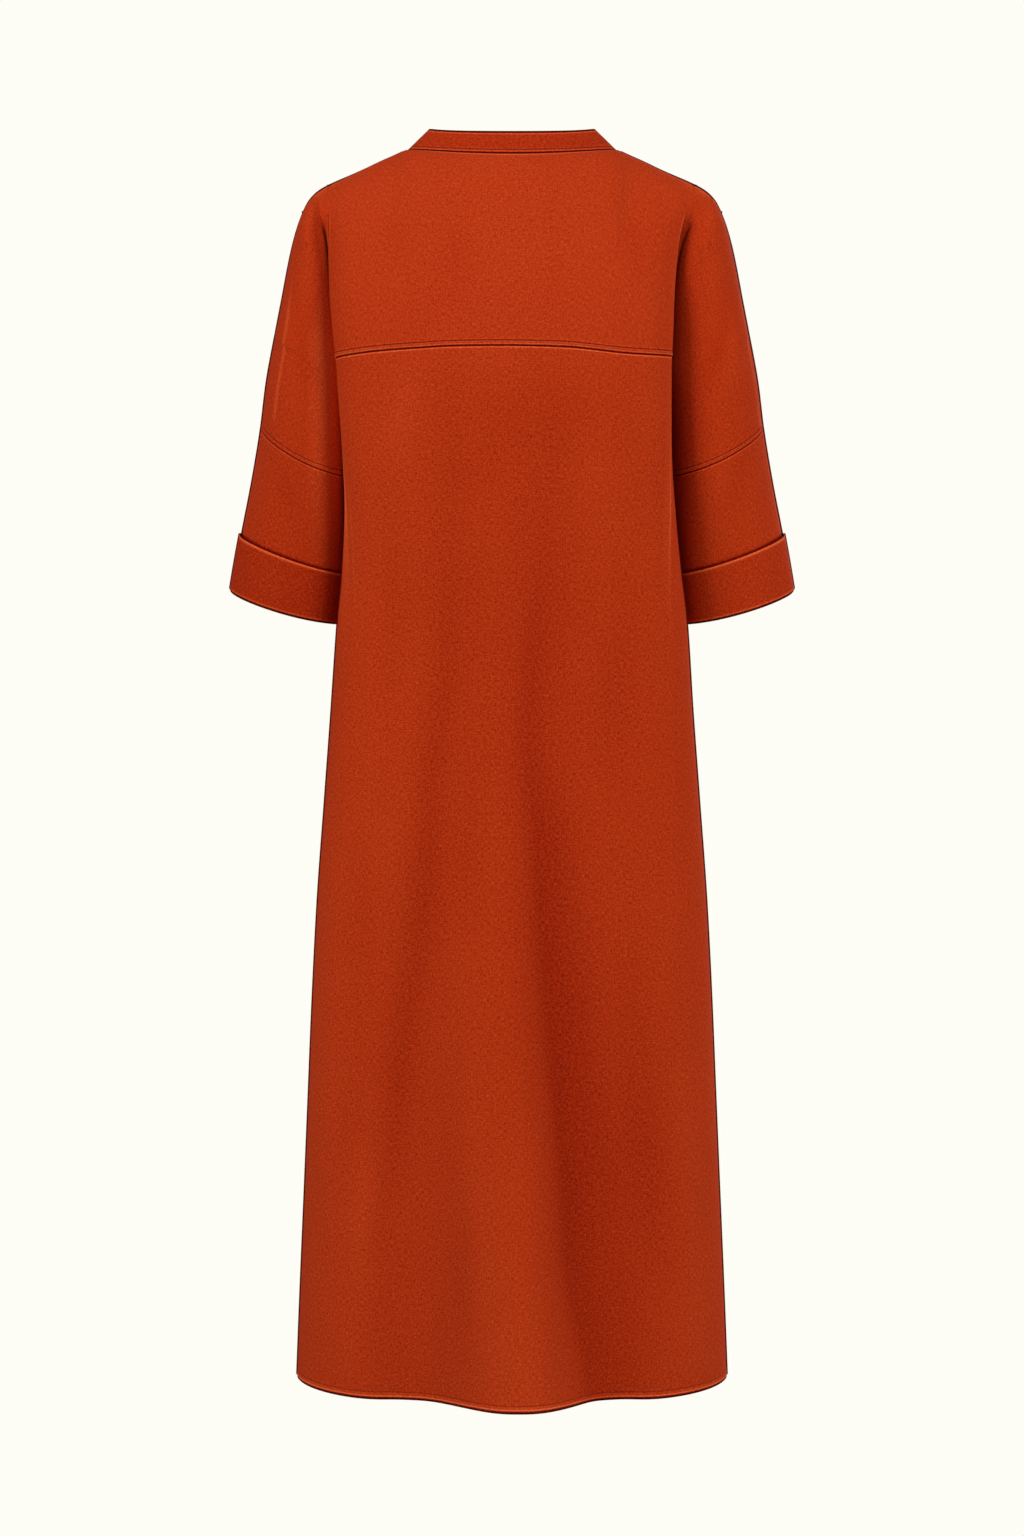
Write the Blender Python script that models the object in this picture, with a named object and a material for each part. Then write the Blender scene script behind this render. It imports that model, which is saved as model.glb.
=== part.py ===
"""A shift dress as it hangs when it is worn: band collar, back yoke, kimono shoulders, turned-up cuffs.

Metres, +Z up. The origin is midway between the two side-neck points. The back faces +Y and the
wearer's left is +X. One surface, the form, is worked out for the whole garment from the tables below.
Each piece is cut from that form and given the cloth's wall, so that neighbours meet along their seams.
"""

import math

import bpy
import numpy as np

# Driving dimensions.
WALL = 0.0018
SEAM_GAP = 0.0003
HEM_Z = -1.169
HEM_SIDE_RISE = 0.0065
CUFF_PROUD = 0.0034
CUFF_CLEAR = 0.0008
CUFF_BOTTOM = 0.0022
BAND_WALL = 0.0024
BAND_GAP = 0.0005
BAND_EDGE_ROUND = 0.3
NECK_HALF_WIDTH = 0.100
NECK_SIDE_Y = -0.006
NECK_BACK = (0.050, -0.013)
NECK_FRONT = (-0.080, -0.078)
NECK_BACK_POWER = 1.5
NECK_FRONT_POWER = 1.8
BAND_LEAN_SIDE = (0.0215, 0.0215)
BAND_LEAN_BACK = (0.012, 0.0240)
BAND_LEAN_FRONT = (0.007, 0.0270)
SLIT_HALF_WIDTH = 0.009
SLIT_END_Z = -0.232
SLIT_POWER = 0.8
SKIRT_POWER = 2.3
FOLD_POWER = 2.5
TOP_BLEND_POWER = 1.5
# How much sooner the top of the sleeve rounds over than the body does, at its fold and outer edge.
CAP_ROUNDING = (1.1, 1.9)
# Above the top of the armhole fold the body runs on into the sleeve: how much sooner it rounds over
# there, how far it stands out, and how open the fold is where each of the two ends.
FOLD_TOP_ROUNDING = 0.3
FOLD_TOP_RISE = 0.011
FOLD_TOP_ENDS = (0.12, 0.45)
# How far each sleeve's cloth stands out from an oval where it lies flat towards the body, and how
# this grows from the underarm ring with each step down the sleeve.
SLEEVE_FLAT = {"left": 0.008, "right": 0.007}
SLEEVE_FLAT_GROWTH = (0.35, 1.3)

# Stations across half of the front or back: along the neck, then the shoulder, then the armhole fold.
NECK_STEPS = 5
SHOULDER_STEPS = 4
FOLD_STEPS = 4
FOLD_EDGE = NECK_STEPS + SHOULDER_STEPS
BODY_STEPS = FOLD_EDGE + FOLD_STEPS
SLEEVE_STEPS = 8
YOKE_ROWS = 9
SKIRT_ROWS = 19
SKIRT_ROW_POWER = 1.12
UPPER_SLEEVE_ROWS = 2

CLOTH = (0.44, 0.052, 0.014, 1.0)


def table(names, *rows):
    """Named columns from rows, in order of rising first column."""
    ordered = np.array(sorted(rows), float)
    return dict(zip(names.split(), ordered.T))


# The body at each height: the half width on each side, the depth of the back and front, where the
# side seam lies in depth, and how far the sides are tucked in behind the armhole folds, from 0 to 1.
BODY = table(
    "z left right back front side tuck",
    (0.000, 0.180, 0.176, 0.098, -0.108, -0.008, 1.00),
    (-0.050, 0.1780, 0.1700, 0.099, -0.114, -0.008, 1.00),
    (-0.089, 0.1750, 0.1590, 0.099, -0.118, -0.008, 1.00),
    (-0.134, 0.1730, 0.1535, 0.099, -0.122, -0.008, 1.00),
    (-0.183, 0.1680, 0.1510, 0.098, -0.125, -0.007, 1.00),
    (-0.214, 0.1645, 0.1495, 0.097, -0.127, -0.006, 1.00),
    (-0.260, 0.1630, 0.1510, 0.095, -0.128, -0.002, 0.90),
    (-0.300, 0.1620, 0.1535, 0.093, -0.126, 0.002, 0.72),
    (-0.342, 0.1612, 0.1572, 0.091, -0.122, 0.006, 0.50),
    (-0.400, 0.1622, 0.1615, 0.089, -0.116, 0.010, 0.22),
    (-0.447, 0.1652, 0.1656, 0.088, -0.112, 0.012, 0.06),
    (-0.522, 0.1700, 0.1700, 0.089, -0.112, 0.009, 0.00),
    (-0.617, 0.1770, 0.1770, 0.093, -0.115, 0.007, 0.00),
    (-0.712, 0.1840, 0.1840, 0.097, -0.120, 0.005, 0.00),
    (-0.807, 0.1890, 0.1890, 0.101, -0.126, 0.003, 0.00),
    (-0.902, 0.1930, 0.1930, 0.104, -0.132, 0.001, 0.00),
    (-0.997, 0.1970, 0.1970, 0.107, -0.137, 0.000, 0.00),
    (-1.092, 0.2010, 0.2010, 0.109, -0.141, 0.000, 0.00),
    (-1.170, 0.2040, 0.2040, 0.110, -0.143, 0.000, 0.00),
)

# Stations of the tucked section, as shares of the half width and of the depth from the side seam.
# Station 9 is the edge of the armhole fold, and the last is the bottom of the fold.
TUCKED = {
    "back": table(
        "station across deep",
        (0, 0.000, 1.000),
        (1, 0.185, 0.998),
        (2, 0.350, 0.990),
        (3, 0.490, 0.970),
        (4, 0.600, 0.945),
        (5, 0.680, 0.915),
        (6, 0.780, 0.860),
        (7, 0.880, 0.775),
        (8, 0.960, 0.650),
        (9, 1.000, 0.480),
        (10, 0.998, 0.340),
        (11, 0.985, 0.200),
        (12, 0.965, 0.080),
        (13, 0.945, 0.000),
    ),
    "front": table(
        "station across deep",
        (0, 0.000, 1.000),
        (1, 0.185, 0.996),
        (2, 0.350, 0.980),
        (3, 0.490, 0.950),
        (4, 0.600, 0.910),
        (5, 0.680, 0.870),
        (6, 0.770, 0.800),
        (7, 0.860, 0.710),
        (8, 0.930, 0.590),
        (9, 0.960, 0.460),
        (10, 0.965, 0.330),
        (11, 0.962, 0.200),
        (12, 0.955, 0.080),
        (13, 0.945, 0.000),
    ),
}

# The shoulder line and then the outer edge of the sleeve, and how open the armhole fold is there.
OUTLINE = table(
    "z half_width seam_y fold",
    (0.000, 0.100, -0.006, 0.00),
    (-0.005, 0.111, -0.007, 0.00),
    (-0.011, 0.125, -0.008, 0.00),
    (-0.018, 0.140, -0.009, 0.00),
    (-0.024, 0.154, -0.010, 0.00),
    (-0.030, 0.168, -0.010, 0.00),
    (-0.037, 0.182, -0.011, 0.00),
    (-0.047, 0.193, -0.011, 0.00),
    (-0.066, 0.202, -0.012, 0.00),
    (-0.086, 0.208, -0.012, 0.16),
    (-0.104, 0.2120, -0.012, 0.32),
    (-0.142, 0.2190, -0.012, 0.53),
    (-0.180, 0.2260, -0.012, 0.80),
    (-0.215, 0.2320, -0.013, 1.00),
)
YOKE_MIDDLE_Z = -0.198
YOKE_END_Z = -0.204
SHOULDER_END_X = 0.168
FOLD_END_X = 0.186
TIP_X = 0.1985

# The sleeve down from the underarm, as slanting rings: the outer and inner points, the middle in
# depth, half the depth, how far the back of the ring lies below its middle, and the power that
# makes the ring narrow towards its inner side.
SLEEVE = table(
    "step outer_x outer_z inner_left inner_right inner_z middle_y half_depth drop narrow",
    (0.0, 0.2256, -0.1770, 0.1555, 0.1413, -0.2150, -0.0070, 0.0500, 0.006, 0.70),
    (0.5, 0.2340, -0.2190, 0.1575, 0.1475, -0.2620, -0.0150, 0.0520, 0.009, 0.78),
    (1.0, 0.2400, -0.2610, 0.1575, 0.1505, -0.3060, -0.0240, 0.0530, 0.015, 0.86),
    (2.0, 0.2495, -0.3120, 0.1570, 0.1540, -0.3540, -0.0350, 0.0530, 0.013, 0.94),
    (3.0, 0.2605, -0.3630, 0.1585, 0.1575, -0.3990, -0.0460, 0.0535, 0.010, 1.00),
    (4.0, 0.2705, -0.4130, 0.1615, 0.1615, -0.4440, -0.0560, 0.0540, 0.011, 1.00),
)
SEAM_STEP = 1.0
CUFF_TOP_STEP = 2.97
CUFF_MIDDLE_STEP = 3.5
CUFF_END_STEP = 4.0
CUFF_SHELF_STEP = CUFF_END_STEP - CUFF_BOTTOM / (SLEEVE["outer_z"][-2] - SLEEVE["outer_z"][-1])
SLEEVE_END_STEP = CUFF_SHELF_STEP - 0.03
LOWER_SLEEVE_STEPS = (SEAM_STEP, 1.7, 2.35, CUFF_TOP_STEP, CUFF_MIDDLE_STEP, SLEEVE_END_STEP)

# Each large fold is a soft trough or ridge down the cloth: its middle, its depth and its half width.
FOLDS = {
    "back": (
        table(
            "z x depth width",
            (-0.215, 0.060, -0.001, 0.028),
            (-0.470, 0.068, -0.005, 0.030),
            (-0.620, 0.068, -0.007, 0.032),
            (-0.760, 0.080, -0.010, 0.034),
            (-0.885, 0.086, -0.012, 0.034),
            (-1.000, 0.090, -0.012, 0.034),
            (-1.170, 0.092, -0.012, 0.034),
        ),
        table(
            "z x depth width",
            (-0.215, -0.028, -0.001, 0.024),
            (-0.400, -0.026, -0.004, 0.024),
            (-0.600, -0.020, -0.006, 0.024),
            (-0.740, -0.032, -0.010, 0.028),
            (-0.870, -0.050, -0.013, 0.030),
            (-1.000, -0.068, -0.014, 0.032),
            (-1.170, -0.090, -0.012, 0.034),
        ),
        table(
            "z x depth width",
            (-0.215, 0.014, 0.000, 0.034),
            (-0.470, 0.024, 0.002, 0.038),
            (-0.740, 0.020, 0.012, 0.044),
            (-1.000, 0.008, 0.030, 0.050),
            (-1.170, -0.006, 0.045, 0.053),
        ),
    ),
    "front": (
        table(
            "z x depth width",
            (-0.260, 0.070, -0.001, 0.030),
            (-0.600, 0.062, -0.006, 0.034),
            (-0.900, 0.074, -0.012, 0.036),
            (-1.170, 0.090, -0.016, 0.038),
        ),
        table(
            "z x depth width",
            (-0.300, -0.052, -0.001, 0.028),
            (-0.620, -0.058, -0.007, 0.032),
            (-0.900, -0.068, -0.011, 0.034),
            (-1.170, -0.080, -0.014, 0.036),
        ),
        table(
            "z x depth width",
            (-0.400, 0.004, 0.000, 0.040),
            (-0.800, 0.004, 0.010, 0.042),
            (-1.170, 0.006, 0.022, 0.046),
        ),
    ),
}


def at(columns, name, where):
    """The named column at a value of the first column, on a smooth curve that never overshoots."""
    xs = next(iter(columns.values()))
    ys = columns[name]
    where = min(max(where, xs[0]), xs[-1])
    i = min(int(np.searchsorted(xs, where, side="right")) - 1, len(xs) - 2)
    slopes = np.diff(ys) / np.diff(xs)

    def tangent(j):
        if j == 0 or j == len(xs) - 1:
            return slopes[min(j, len(slopes) - 1)]
        before, after = slopes[j - 1], slopes[j]
        return 0.0 if before * after <= 0 else 2 * before * after / (before + after)

    step = xs[i + 1] - xs[i]
    t = (where - xs[i]) / step
    return (
        (1 + 2 * t) * (1 - t) ** 2 * ys[i]
        + t * (1 - t) ** 2 * step * tangent(i)
        + t * t * (3 - 2 * t) * ys[i + 1]
        - t * t * (1 - t) * step * tangent(i + 1)
    )


def mix(a, b, share):
    return a + (b - a) * share


def fold_depth(face, x, z):
    """How far the large folds move the cloth outwards at a point of the front or back."""
    moved = 0.0
    for fold in FOLDS[face]:
        across = abs(x - at(fold, "x", z)) / at(fold, "width", z)
        moved += at(fold, "depth", z) * math.exp(-(across**FOLD_POWER))
    return moved


def slit_half_width(z):
    """Half the width of the neck slit, which narrows to nothing at its end."""
    share = (z - SLIT_END_Z) / (NECK_FRONT[1] - SLIT_END_Z)
    return SLIT_HALF_WIDTH * max(share, 0.0) ** SLIT_POWER


def body_section(side, face, station, z):
    """(x, y) of a station of the body at a height, x from the middle outwards."""
    width = at(BODY, side, z)
    seam = at(BODY, "side", z)
    depth = at(BODY, face, z) - seam
    tuck = at(BODY, "tuck", z)
    opened = at(OUTLINE, "fold", z) if z > OUTLINE["z"][0] else 1.0
    across = at(TUCKED[face], "across", station)
    deep = at(TUCKED[face], "deep", station)
    if station > FOLD_EDGE:
        edge_across = at(TUCKED[face], "across", FOLD_EDGE)
        edge_deep = at(TUCKED[face], "deep", FOLD_EDGE)
        across = mix(edge_across, across, opened)
        deep = mix(edge_deep, deep, opened)
    round_across = math.sin(math.pi / 2 * station / BODY_STEPS)
    round_deep = (1 - round_across**SKIRT_POWER) ** (1 / SKIRT_POWER)
    x = width * mix(round_across, across, tuck)
    y = seam + depth * mix(round_deep, deep, tuck)
    sign = 1 if side == "left" else -1
    flat = max(1 - (x / width) ** 4, 0.0)
    y += fold_depth(face, sign * x, z) * flat * (1 if face == "back" else -1)
    if face == "front" and z > SLIT_END_Z:
        x += slit_half_width(z) * (1 - station / BODY_STEPS)
    return x, y


def shoulder_z(x):
    """The height of the shoulder line at a distance from the middle."""
    return float(np.interp(x, OUTLINE["half_width"][::-1], OUTLINE["z"][::-1]))


def neck_base(face, share):
    """A point of the neckline, from the middle (0) to the side of the neck (1)."""
    angle = math.pi / 2 * share
    y_end, z_end = NECK_BACK if face == "back" else NECK_FRONT
    power = NECK_BACK_POWER if face == "back" else NECK_FRONT_POWER
    x = NECK_HALF_WIDTH * math.sin(angle)
    y = NECK_SIDE_Y + (y_end - NECK_SIDE_Y) * math.cos(angle)
    z = z_end * max(math.cos(angle), 0.0) ** power
    if face == "front":
        x += SLIT_HALF_WIDTH * (1 - share)
        x = min(x, NECK_HALF_WIDTH)
    return np.array((x, y, z))


def top_point(face, station):
    """Where a line of the grid leaves the neckline, the shoulder seam or the top of the sleeve."""
    if station <= NECK_STEPS:
        return neck_base(face, station / NECK_STEPS)
    if station <= FOLD_EDGE:
        x = mix(NECK_HALF_WIDTH, SHOULDER_END_X, (station - NECK_STEPS) / SHOULDER_STEPS)
    elif station <= BODY_STEPS:
        x = mix(SHOULDER_END_X, FOLD_END_X, (station - FOLD_EDGE) / FOLD_STEPS)
    else:
        x = mix(FOLD_END_X, TIP_X, (station - BODY_STEPS) / SLEEVE_STEPS)
    z = shoulder_z(x)
    return np.array((x, at(OUTLINE, "seam_y", z), z))


def yoke_line_z(station):
    """The height of the yoke seam, or of the same line on the front."""
    if station <= FOLD_EDGE:
        return mix(YOKE_MIDDLE_Z, YOKE_END_Z, (station / FOLD_EDGE) ** 2)
    return mix(YOKE_END_Z, SLEEVE["inner_z"][0], (station - FOLD_EDGE) / FOLD_STEPS)


def sleeve_flat(side, share, step):
    """How far a sleeve's cloth stands out from its oval, between its inner side and its middle."""
    if share >= 0.5:
        return 0.0
    start, growth = SLEEVE_FLAT_GROWTH
    return SLEEVE_FLAT[side] * min(start + growth * step, 1.0) * math.sin(2 * math.pi * share) ** 2


def sleeve_ring(side, face, share, step):
    """A point of a slanting ring of the sleeve, from its inner side (0) to its outer edge (1)."""
    angle = math.pi * share
    across = ((1 - math.cos(angle)) / 2) ** at(SLEEVE, "narrow", step)
    x = mix(at(SLEEVE, "inner_" + side, step), at(SLEEVE, "outer_x", step), across)
    z = mix(at(SLEEVE, "inner_z", step), at(SLEEVE, "outer_z", step), across)
    turn = 1 if face == "back" else -1
    full = at(SLEEVE, "half_depth", step) * math.sin(angle) + sleeve_flat(side, share, step)
    y = at(SLEEVE, "middle_y", step) + turn * full
    z -= turn * at(SLEEVE, "drop", step) * math.sin(angle)
    return np.array((x, y, z))


def shoulder_cap(side, face, share, z, ring_y):
    """(x, y) of the upper sleeve at a height, from the bottom of the armhole fold to the seam."""
    inner_x, inner_y = body_section(side, face, BODY_STEPS, z)
    outer_x = at(OUTLINE, "half_width", z)
    outer_y = at(OUTLINE, "seam_y", z)
    angle = math.pi * share
    across = ((1 - math.cos(angle)) / 2) ** SLEEVE["narrow"][0]
    x = mix(inner_x, outer_x, across)
    chord = mix(inner_y, outer_y, across)
    rise = ring_y - (inner_y + outer_y) / 2
    turn = 1 if face == "back" else -1
    flat = turn * sleeve_flat(side, share, 0.0) * at(OUTLINE, "fold", z)
    return x, chord + rise * math.sin(angle) + flat


def upper_point(side, face, station, row):
    """A point of the form above the underarm."""
    top = top_point(face, station)
    share = row / YOKE_ROWS
    fall = 1 - math.cos(math.pi / 2 * share)
    round_off = math.sin(math.pi / 2 * share)
    turn = 1 if face == "back" else -1
    if station <= BODY_STEPS:
        z = mix(top[2], yoke_line_z(station), fall)
        x, y = body_section(side, face, station, z)
        x_top = body_section(side, face, station, top[2])[0]
        if station > FOLD_EDGE:
            past = (station - FOLD_EDGE) / FOLD_STEPS
            closed = max(1 - at(OUTLINE, "fold", z) / FOLD_TOP_ENDS[0], 0.0)
            round_off = min(round_off * (1 + FOLD_TOP_ROUNDING * past * closed), 1.0)
    else:
        across = (station - BODY_STEPS) / SLEEVE_STEPS
        low = sleeve_ring(side, face, across, 0.0)
        z = mix(top[2], low[2], fall)
        ring_y = SLEEVE["middle_y"][0] + turn * SLEEVE["half_depth"][0]
        x, y = shoulder_cap(side, face, across, z, ring_y)
        x_top = shoulder_cap(side, face, across, top[2], ring_y)[0]
        if row == YOKE_ROWS:
            x, y = low[0], low[1]
        round_off = min(round_off * mix(*CAP_ROUNDING, across), 1.0)
    closed = max(1 - at(OUTLINE, "fold", z) / FOLD_TOP_ENDS[1], 0.0)
    y += turn * FOLD_TOP_RISE * closed * math.exp(-(((station - FOLD_EDGE) / 2) ** 2))
    x += (top[0] - x_top) * (1 - share) ** TOP_BLEND_POWER
    if station == BODY_STEPS + SLEEVE_STEPS:
        x = at(OUTLINE, "half_width", z) if row < YOKE_ROWS else x
    y = mix(top[1], y, round_off)
    return np.array((x, y, z))


def skirt_point(side, face, station, row):
    """A point of the body from the yoke seam down to the hem."""
    share = (row / SKIRT_ROWS) ** SKIRT_ROW_POWER
    hem_z = HEM_Z + HEM_SIDE_RISE * math.sin(math.pi / 2 * station / BODY_STEPS) ** 6
    z = mix(yoke_line_z(station), hem_z, share)
    x, y = body_section(side, face, station, z)
    if station == 0 and (face == "back" or z <= SLIT_END_Z):
        x = 0.0
    return np.array((x, y, z))


def grid(rows, columns, point):
    return [[point(row, column) for column in range(columns + 1)] for row in range(rows + 1)]


def form_grids():
    """(piece, side, face, grid) for every part of the form."""
    for side in ("left", "right"):
        for face in ("back", "front"):
            upper_piece = "back_yoke" if face == "back" else "front"
            skirt_piece = "back_panel" if face == "back" else "front"
            yield upper_piece, side, face, grid(
                YOKE_ROWS,
                BODY_STEPS + SLEEVE_STEPS,
                lambda row, station: upper_point(side, face, station, row),
            )
            yield skirt_piece, side, face, grid(
                SKIRT_ROWS,
                BODY_STEPS,
                lambda row, station: skirt_point(side, face, station, row),
            )
            yield upper_piece, side, face, grid(
                UPPER_SLEEVE_ROWS,
                SLEEVE_STEPS,
                lambda row, station: sleeve_ring(
                    side, face, station / SLEEVE_STEPS, SEAM_STEP * row / UPPER_SLEEVE_ROWS
                ),
            )
            yield "sleeve_" + side, side, face, grid(
                len(LOWER_SLEEVE_STEPS) - 1,
                SLEEVE_STEPS,
                lambda row, station: sleeve_ring(
                    side, face, station / SLEEVE_STEPS, LOWER_SLEEVE_STEPS[row]
                ),
            )


class Form:
    """The welded surface of the garment and, for each piece, its faces."""

    def __init__(self):
        self.index = {}
        self.points = []
        self.pieces = {}

    def vertex(self, point):
        key = tuple(int(round(value * 1e6)) for value in point)
        if key not in self.index:
            self.index[key] = len(self.points)
            self.points.append(point)
        return self.index[key]

    def add(self, piece, side, face, rows):
        sign = 1 if side == "left" else -1
        ids = [[self.vertex(np.array((sign * p[0], p[1], p[2]))) for p in row] for row in rows]
        turned = (side == "left") == (face == "back")
        for upper, lower in zip(ids, ids[1:]):
            for i in range(len(upper) - 1):
                quad = [upper[i], lower[i], lower[i + 1], upper[i + 1]]
                quad = quad[::-1] if turned else quad
                if len(set(quad)) > 2:
                    corners = list(dict.fromkeys(quad))
                    self.pieces.setdefault(piece, []).append(corners)

    def normals(self):
        points = np.array(self.points)
        total = np.zeros_like(points)
        for faces in self.pieces.values():
            for face in faces:
                corners = points[face]
                normal = np.cross(corners[2] - corners[0], corners[-1] - corners[1])
                total[face] += normal
        return total / np.linalg.norm(total, axis=1)[:, None]


def edges_of(faces):
    """Each directed edge of the faces that has no twin among them."""
    directed = {(f[i - 1], f[i]) for f in faces for i in range(len(f))}
    return [edge for edge in directed if edge[::-1] not in directed]


def solid_piece(form, normals, name):
    """The closed wall of one piece, its seam edges drawn back by half the seam gap."""
    faces = form.pieces[name]
    own = edges_of(faces)
    others = set()
    for other, other_faces in form.pieces.items():
        if other != name:
            others |= {(f[i], f[i - 1]) for f in other_faces for i in range(len(f))}
    points = np.array(form.points)
    inward = {}
    for a, b in own:
        if (a, b) not in others:
            continue
        along = points[b] - points[a]
        for v in (a, b):
            across = np.cross(normals[v], along)
            inward.setdefault(v, []).append(across / np.linalg.norm(across))
    moved = {}
    for v, ways in inward.items():
        mean = np.sum(ways, axis=0)
        both = 1 + float(ways[0] @ ways[-1]) if len(ways) > 1 else 1.0
        moved[v] = mean / max(both, 0.5) * SEAM_GAP / 2
    used = sorted({v for f in faces for v in f})
    place = {v: i for i, v in enumerate(used)}
    count = len(used)
    outer = [points[v] + moved.get(v, 0.0) for v in used]
    inner = [p - normals[v] * WALL for p, v in zip(outer, used)]
    mesh_faces = [[place[v] for v in f] for f in faces]
    mesh_faces += [[place[v] + count for v in reversed(f)] for f in faces]
    for a, b in sorted(own):
        a_out, b_out = place[a], place[b]
        a_in, b_in = a_out + count, b_out + count
        # Both pieces at a seam split their edge faces on the same diagonal.
        if a < b:
            mesh_faces += [[b_out, a_out, a_in], [b_out, a_in, b_in]]
        else:
            mesh_faces += [[b_out, a_out, b_in], [a_out, a_in, b_in]]
    return outer + inner, mesh_faces


def swept_ring(rings, closed):
    """Faces between neighbouring rings of points, each ring being one closed section of a wall."""
    count = len(rings[0])
    faces = []
    pairs = list(zip(range(len(rings)), range(1, len(rings))))
    if closed:
        pairs.append((len(rings) - 1, 0))
    for a, b in pairs:
        for i in range(count):
            j = (i + 1) % count
            faces.append([a * count + i, a * count + j, b * count + j, b * count + i])
    if not closed:
        faces.append(list(reversed(range(count))))
        last = (len(rings) - 1) * count
        faces.append([last + i for i in range(count)])
    return [point for ring in rings for point in ring], faces


def neck_band():
    """The stand collar, as sections of its wall from one side of the front slit round to the other."""
    stations = []
    for side, turn in (("right", -1), ("left", 1)):
        faces = [("front", i / NECK_STEPS) for i in range(NECK_STEPS + 1)]
        faces += [("back", i / NECK_STEPS) for i in reversed(range(NECK_STEPS))]
        run = [(turn, face, share) for face, share in faces]
        stations += run if side == "right" else run[::-1][1:]
    rings = []
    for turn, face, share in stations:
        angle = math.pi / 2 * share
        lean_end, rise_end = BAND_LEAN_BACK if face == "back" else BAND_LEAN_FRONT
        weight = math.sin(angle) ** 2
        lean = mix(lean_end, BAND_LEAN_SIDE[0], weight)
        rise = mix(rise_end, BAND_LEAN_SIDE[1], weight)
        ends = 1 if face == "back" else -1
        inwards = np.array((-turn * math.sin(angle), -ends * math.cos(angle), 0.0))
        up = inwards * lean + np.array((0.0, 0.0, rise))
        length = float(np.linalg.norm(up))
        up = up / length
        through = inwards * up[2] - np.array((0.0, 0.0, up @ inwards))
        base = neck_base(face, share) * np.array((turn, 1, 1))
        low = base + up * BAND_GAP
        high = base + up * length
        middle = mix(low, high, 0.5)
        soft = BAND_WALL * BAND_EDGE_ROUND
        rings.append(
            [
                low,
                middle,
                high - up * soft,
                high + through * soft,
                high + through * (BAND_WALL - soft),
                high - up * soft + through * BAND_WALL,
                middle + through * BAND_WALL,
                low + through * BAND_WALL,
            ]
        )
    return swept_ring(rings, closed=False)


def cuff(side):
    """The turned-up cuff: a wall outside the sleeve that closes under the sleeve's end."""
    turn = 1 if side == "left" else -1
    outside, inside, shelf = CUFF_PROUD, CUFF_CLEAR, CUFF_SHELF_STEP
    profile = (
        (CUFF_TOP_STEP, inside),
        (CUFF_TOP_STEP, outside),
        (CUFF_MIDDLE_STEP, outside),
        (shelf, outside),
        (CUFF_END_STEP, mix(-WALL, outside, 0.6)),
        (CUFF_END_STEP, mix(-WALL, outside, 0.2)),
        (shelf, -WALL),
        (shelf, inside),
        (CUFF_MIDDLE_STEP, inside),
    )
    round_steps = 2 * SLEEVE_STEPS
    rings = []
    for i in range(round_steps):
        face = "back" if i <= SLEEVE_STEPS else "front"
        share = i / SLEEVE_STEPS if i <= SLEEVE_STEPS else 2 - i / SLEEVE_STEPS
        ring = []
        for step, out in profile:
            point = sleeve_ring(side, face, share, step)
            back = sleeve_ring(side, "back", 0.5, step)
            front = sleeve_ring(side, "front", 0.5, step)
            inner = sleeve_ring(side, "back", 0.0, step)
            outer = sleeve_ring(side, "back", 1.0, step)
            half_x = (outer - inner) / 2
            half_y = (back - front) / 2
            along_x = half_x / np.linalg.norm(half_x)
            along_y = half_y / np.linalg.norm(half_y)
            angle = math.pi * share
            turn_y = 1 if face == "back" else -1
            normal = along_x * -math.cos(angle) * np.linalg.norm(half_y)
            normal = normal + along_y * turn_y * math.sin(angle) * np.linalg.norm(half_x)
            point = point + normal / np.linalg.norm(normal) * out
            ring.append(point * np.array((turn, 1, 1)))
        rings.append(ring if turn < 0 else ring[::-1])
    return swept_ring(rings, closed=True)


def cloth_material():
    material = bpy.data.materials.new("rust_cloth")
    material.use_nodes = True
    shader = material.node_tree.nodes["Principled BSDF"]
    shader.inputs["Base Color"].default_value = CLOTH
    shader.inputs["Roughness"].default_value = 0.85
    shader.inputs["Metallic"].default_value = 0.0
    material.diffuse_color = CLOTH
    return material


def add_object(name, points, faces, material):
    mesh = bpy.data.meshes.new(name)
    mesh.from_pydata([tuple(p) for p in points], [], faces)
    mesh.materials.append(material)
    mesh.validate()
    mesh.shade_smooth()
    mesh.set_sharp_from_angle(angle=math.radians(50))
    piece = bpy.data.objects.new(name, mesh)
    bpy.context.scene.collection.objects.link(piece)
    return piece


def main():
    for old in list(bpy.data.objects):
        bpy.data.objects.remove(old)
    material = cloth_material()
    form = Form()
    for piece, side, face, rows in form_grids():
        form.add(piece, side, face, rows)
    normals = form.normals()
    for name in form.pieces:
        add_object(name, *solid_piece(form, normals, name), material)
    add_object("neck_band", *neck_band(), material)
    for side in ("left", "right"):
        add_object("cuff_" + side, *cuff(side), material)


main()
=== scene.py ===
import math

import bpy
import numpy as np
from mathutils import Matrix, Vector


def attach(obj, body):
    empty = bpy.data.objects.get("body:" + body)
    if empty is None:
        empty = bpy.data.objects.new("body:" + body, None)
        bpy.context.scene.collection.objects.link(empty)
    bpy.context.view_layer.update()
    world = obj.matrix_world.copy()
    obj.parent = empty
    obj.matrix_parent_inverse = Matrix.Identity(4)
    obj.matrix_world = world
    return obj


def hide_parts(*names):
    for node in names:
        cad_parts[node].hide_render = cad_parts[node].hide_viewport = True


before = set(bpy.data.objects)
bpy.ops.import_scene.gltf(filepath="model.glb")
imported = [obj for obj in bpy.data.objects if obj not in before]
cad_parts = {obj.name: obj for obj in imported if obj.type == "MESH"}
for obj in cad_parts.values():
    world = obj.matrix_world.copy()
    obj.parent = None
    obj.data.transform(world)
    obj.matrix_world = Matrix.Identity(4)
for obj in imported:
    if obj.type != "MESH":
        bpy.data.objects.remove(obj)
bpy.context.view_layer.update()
bpy.ops.object.select_all(action="DESELECT")

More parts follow.
